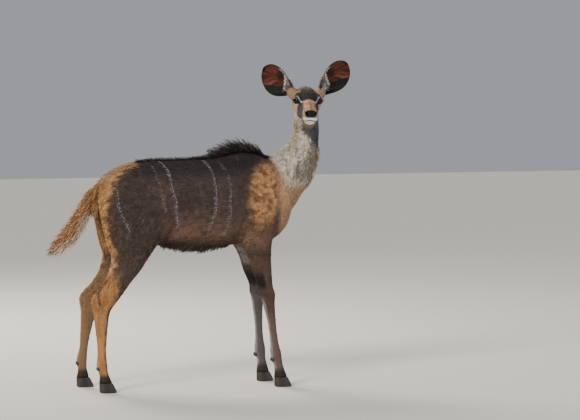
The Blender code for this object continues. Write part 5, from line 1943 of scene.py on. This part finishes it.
# %% Eye and horn
wet_eye, tree, shader = new_material("wet_eye", roughness=0.05)
shader.inputs["Specular IOR Level"].default_value = 0.32
paint_node = add_node(tree, "ShaderNodeAttribute", {"attribute_name": "coat"})
tree.links.new(paint_node.outputs["Color"], shader.inputs["Base Color"])
shader.inputs["IOR"].default_value = 1.38
shader.inputs["Coat Weight"].default_value = 0.3
shader.inputs["Coat Roughness"].default_value = 0.03

RING_SPACING = 0.0045
horn, tree, shader = new_material("black_horn", "#1d1a18", 0.42)
place = add_node(tree, "ShaderNodeTexCoord")
rings = add_node(tree, "ShaderNodeTexWave", {"bands_direction": "Z"}, Vector=place.outputs["Object"],
                 Scale=0.314 / RING_SPACING, Distortion=2.0, Detail=2.0, Detail_Scale=4.0)
SCRATCH = 0.002
scratches = add_node(tree, "ShaderNodeTexNoise", Vector=place.outputs["Object"], Scale=1.0 / SCRATCH,
                     Detail=4.0)
worn = add_node(tree, "ShaderNodeMix", {"data_type": "RGBA"}, Factor=scratches.outputs["Fac"],
                A=(*linear("#14110f"), 1.0), B=(*linear("#3a332d"), 1.0))
tree.links.new(worn.outputs["Result"], shader.inputs["Base Color"])
bump = add_node(tree, "ShaderNodeBump", Strength=0.45, Distance=0.0006, Height=rings.outputs["Fac"])
tree.links.new(bump.outputs["Normal"], shader.inputs["Normal"])

# %% [markdown]
# Last, every piece is moved by the one shift to where the solid model stands, rides on its body, and
# hides the solid nodes that it stands for.

# %% Place the pieces
def settle(thing, material, slot, *nodes):
    thing.data.transform(Matrix.Translation(SHIFT))
    thing.data.materials.clear()
    thing.data.materials.append(material)
    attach(thing, "root")
    if nodes:
        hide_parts(*nodes)


flesh = ["torso", "neck", "head", "tail", "ear_left", "ear_right"]
for leg in LEGS:
    flesh += [f"{leg}_upper", f"{leg}_lower"]
skin.data.shade_smooth()
settle(skin, hide, "coat", *flesh)
for thing in coat_pieces:
    settle(thing, hair, "coat")
for word, thing in eyes.items():
    settle(thing, wet_eye, "eye", f"eye_{word}")
for node, thing in claws.items():
    settle(thing, horn, "hoof", node)
settle(dewclaws, horn, "hoof")
total = sum(len(thing.data.polygons) for thing in coat_pieces)
print("coat", total, "triangles in", len(coat_pieces), "pieces")

# %% Compare the boxes and finish
LOOKS_BOX = [list(corner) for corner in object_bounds()]
for axis, (low_cad, high_cad, low_seen, high_seen) in enumerate(zip(*CAD_BOX, *LOOKS_BOX)):
    print("XYZ"[axis], "solid", round(high_cad - low_cad, 4), "seen", round(high_seen - low_seen, 4))
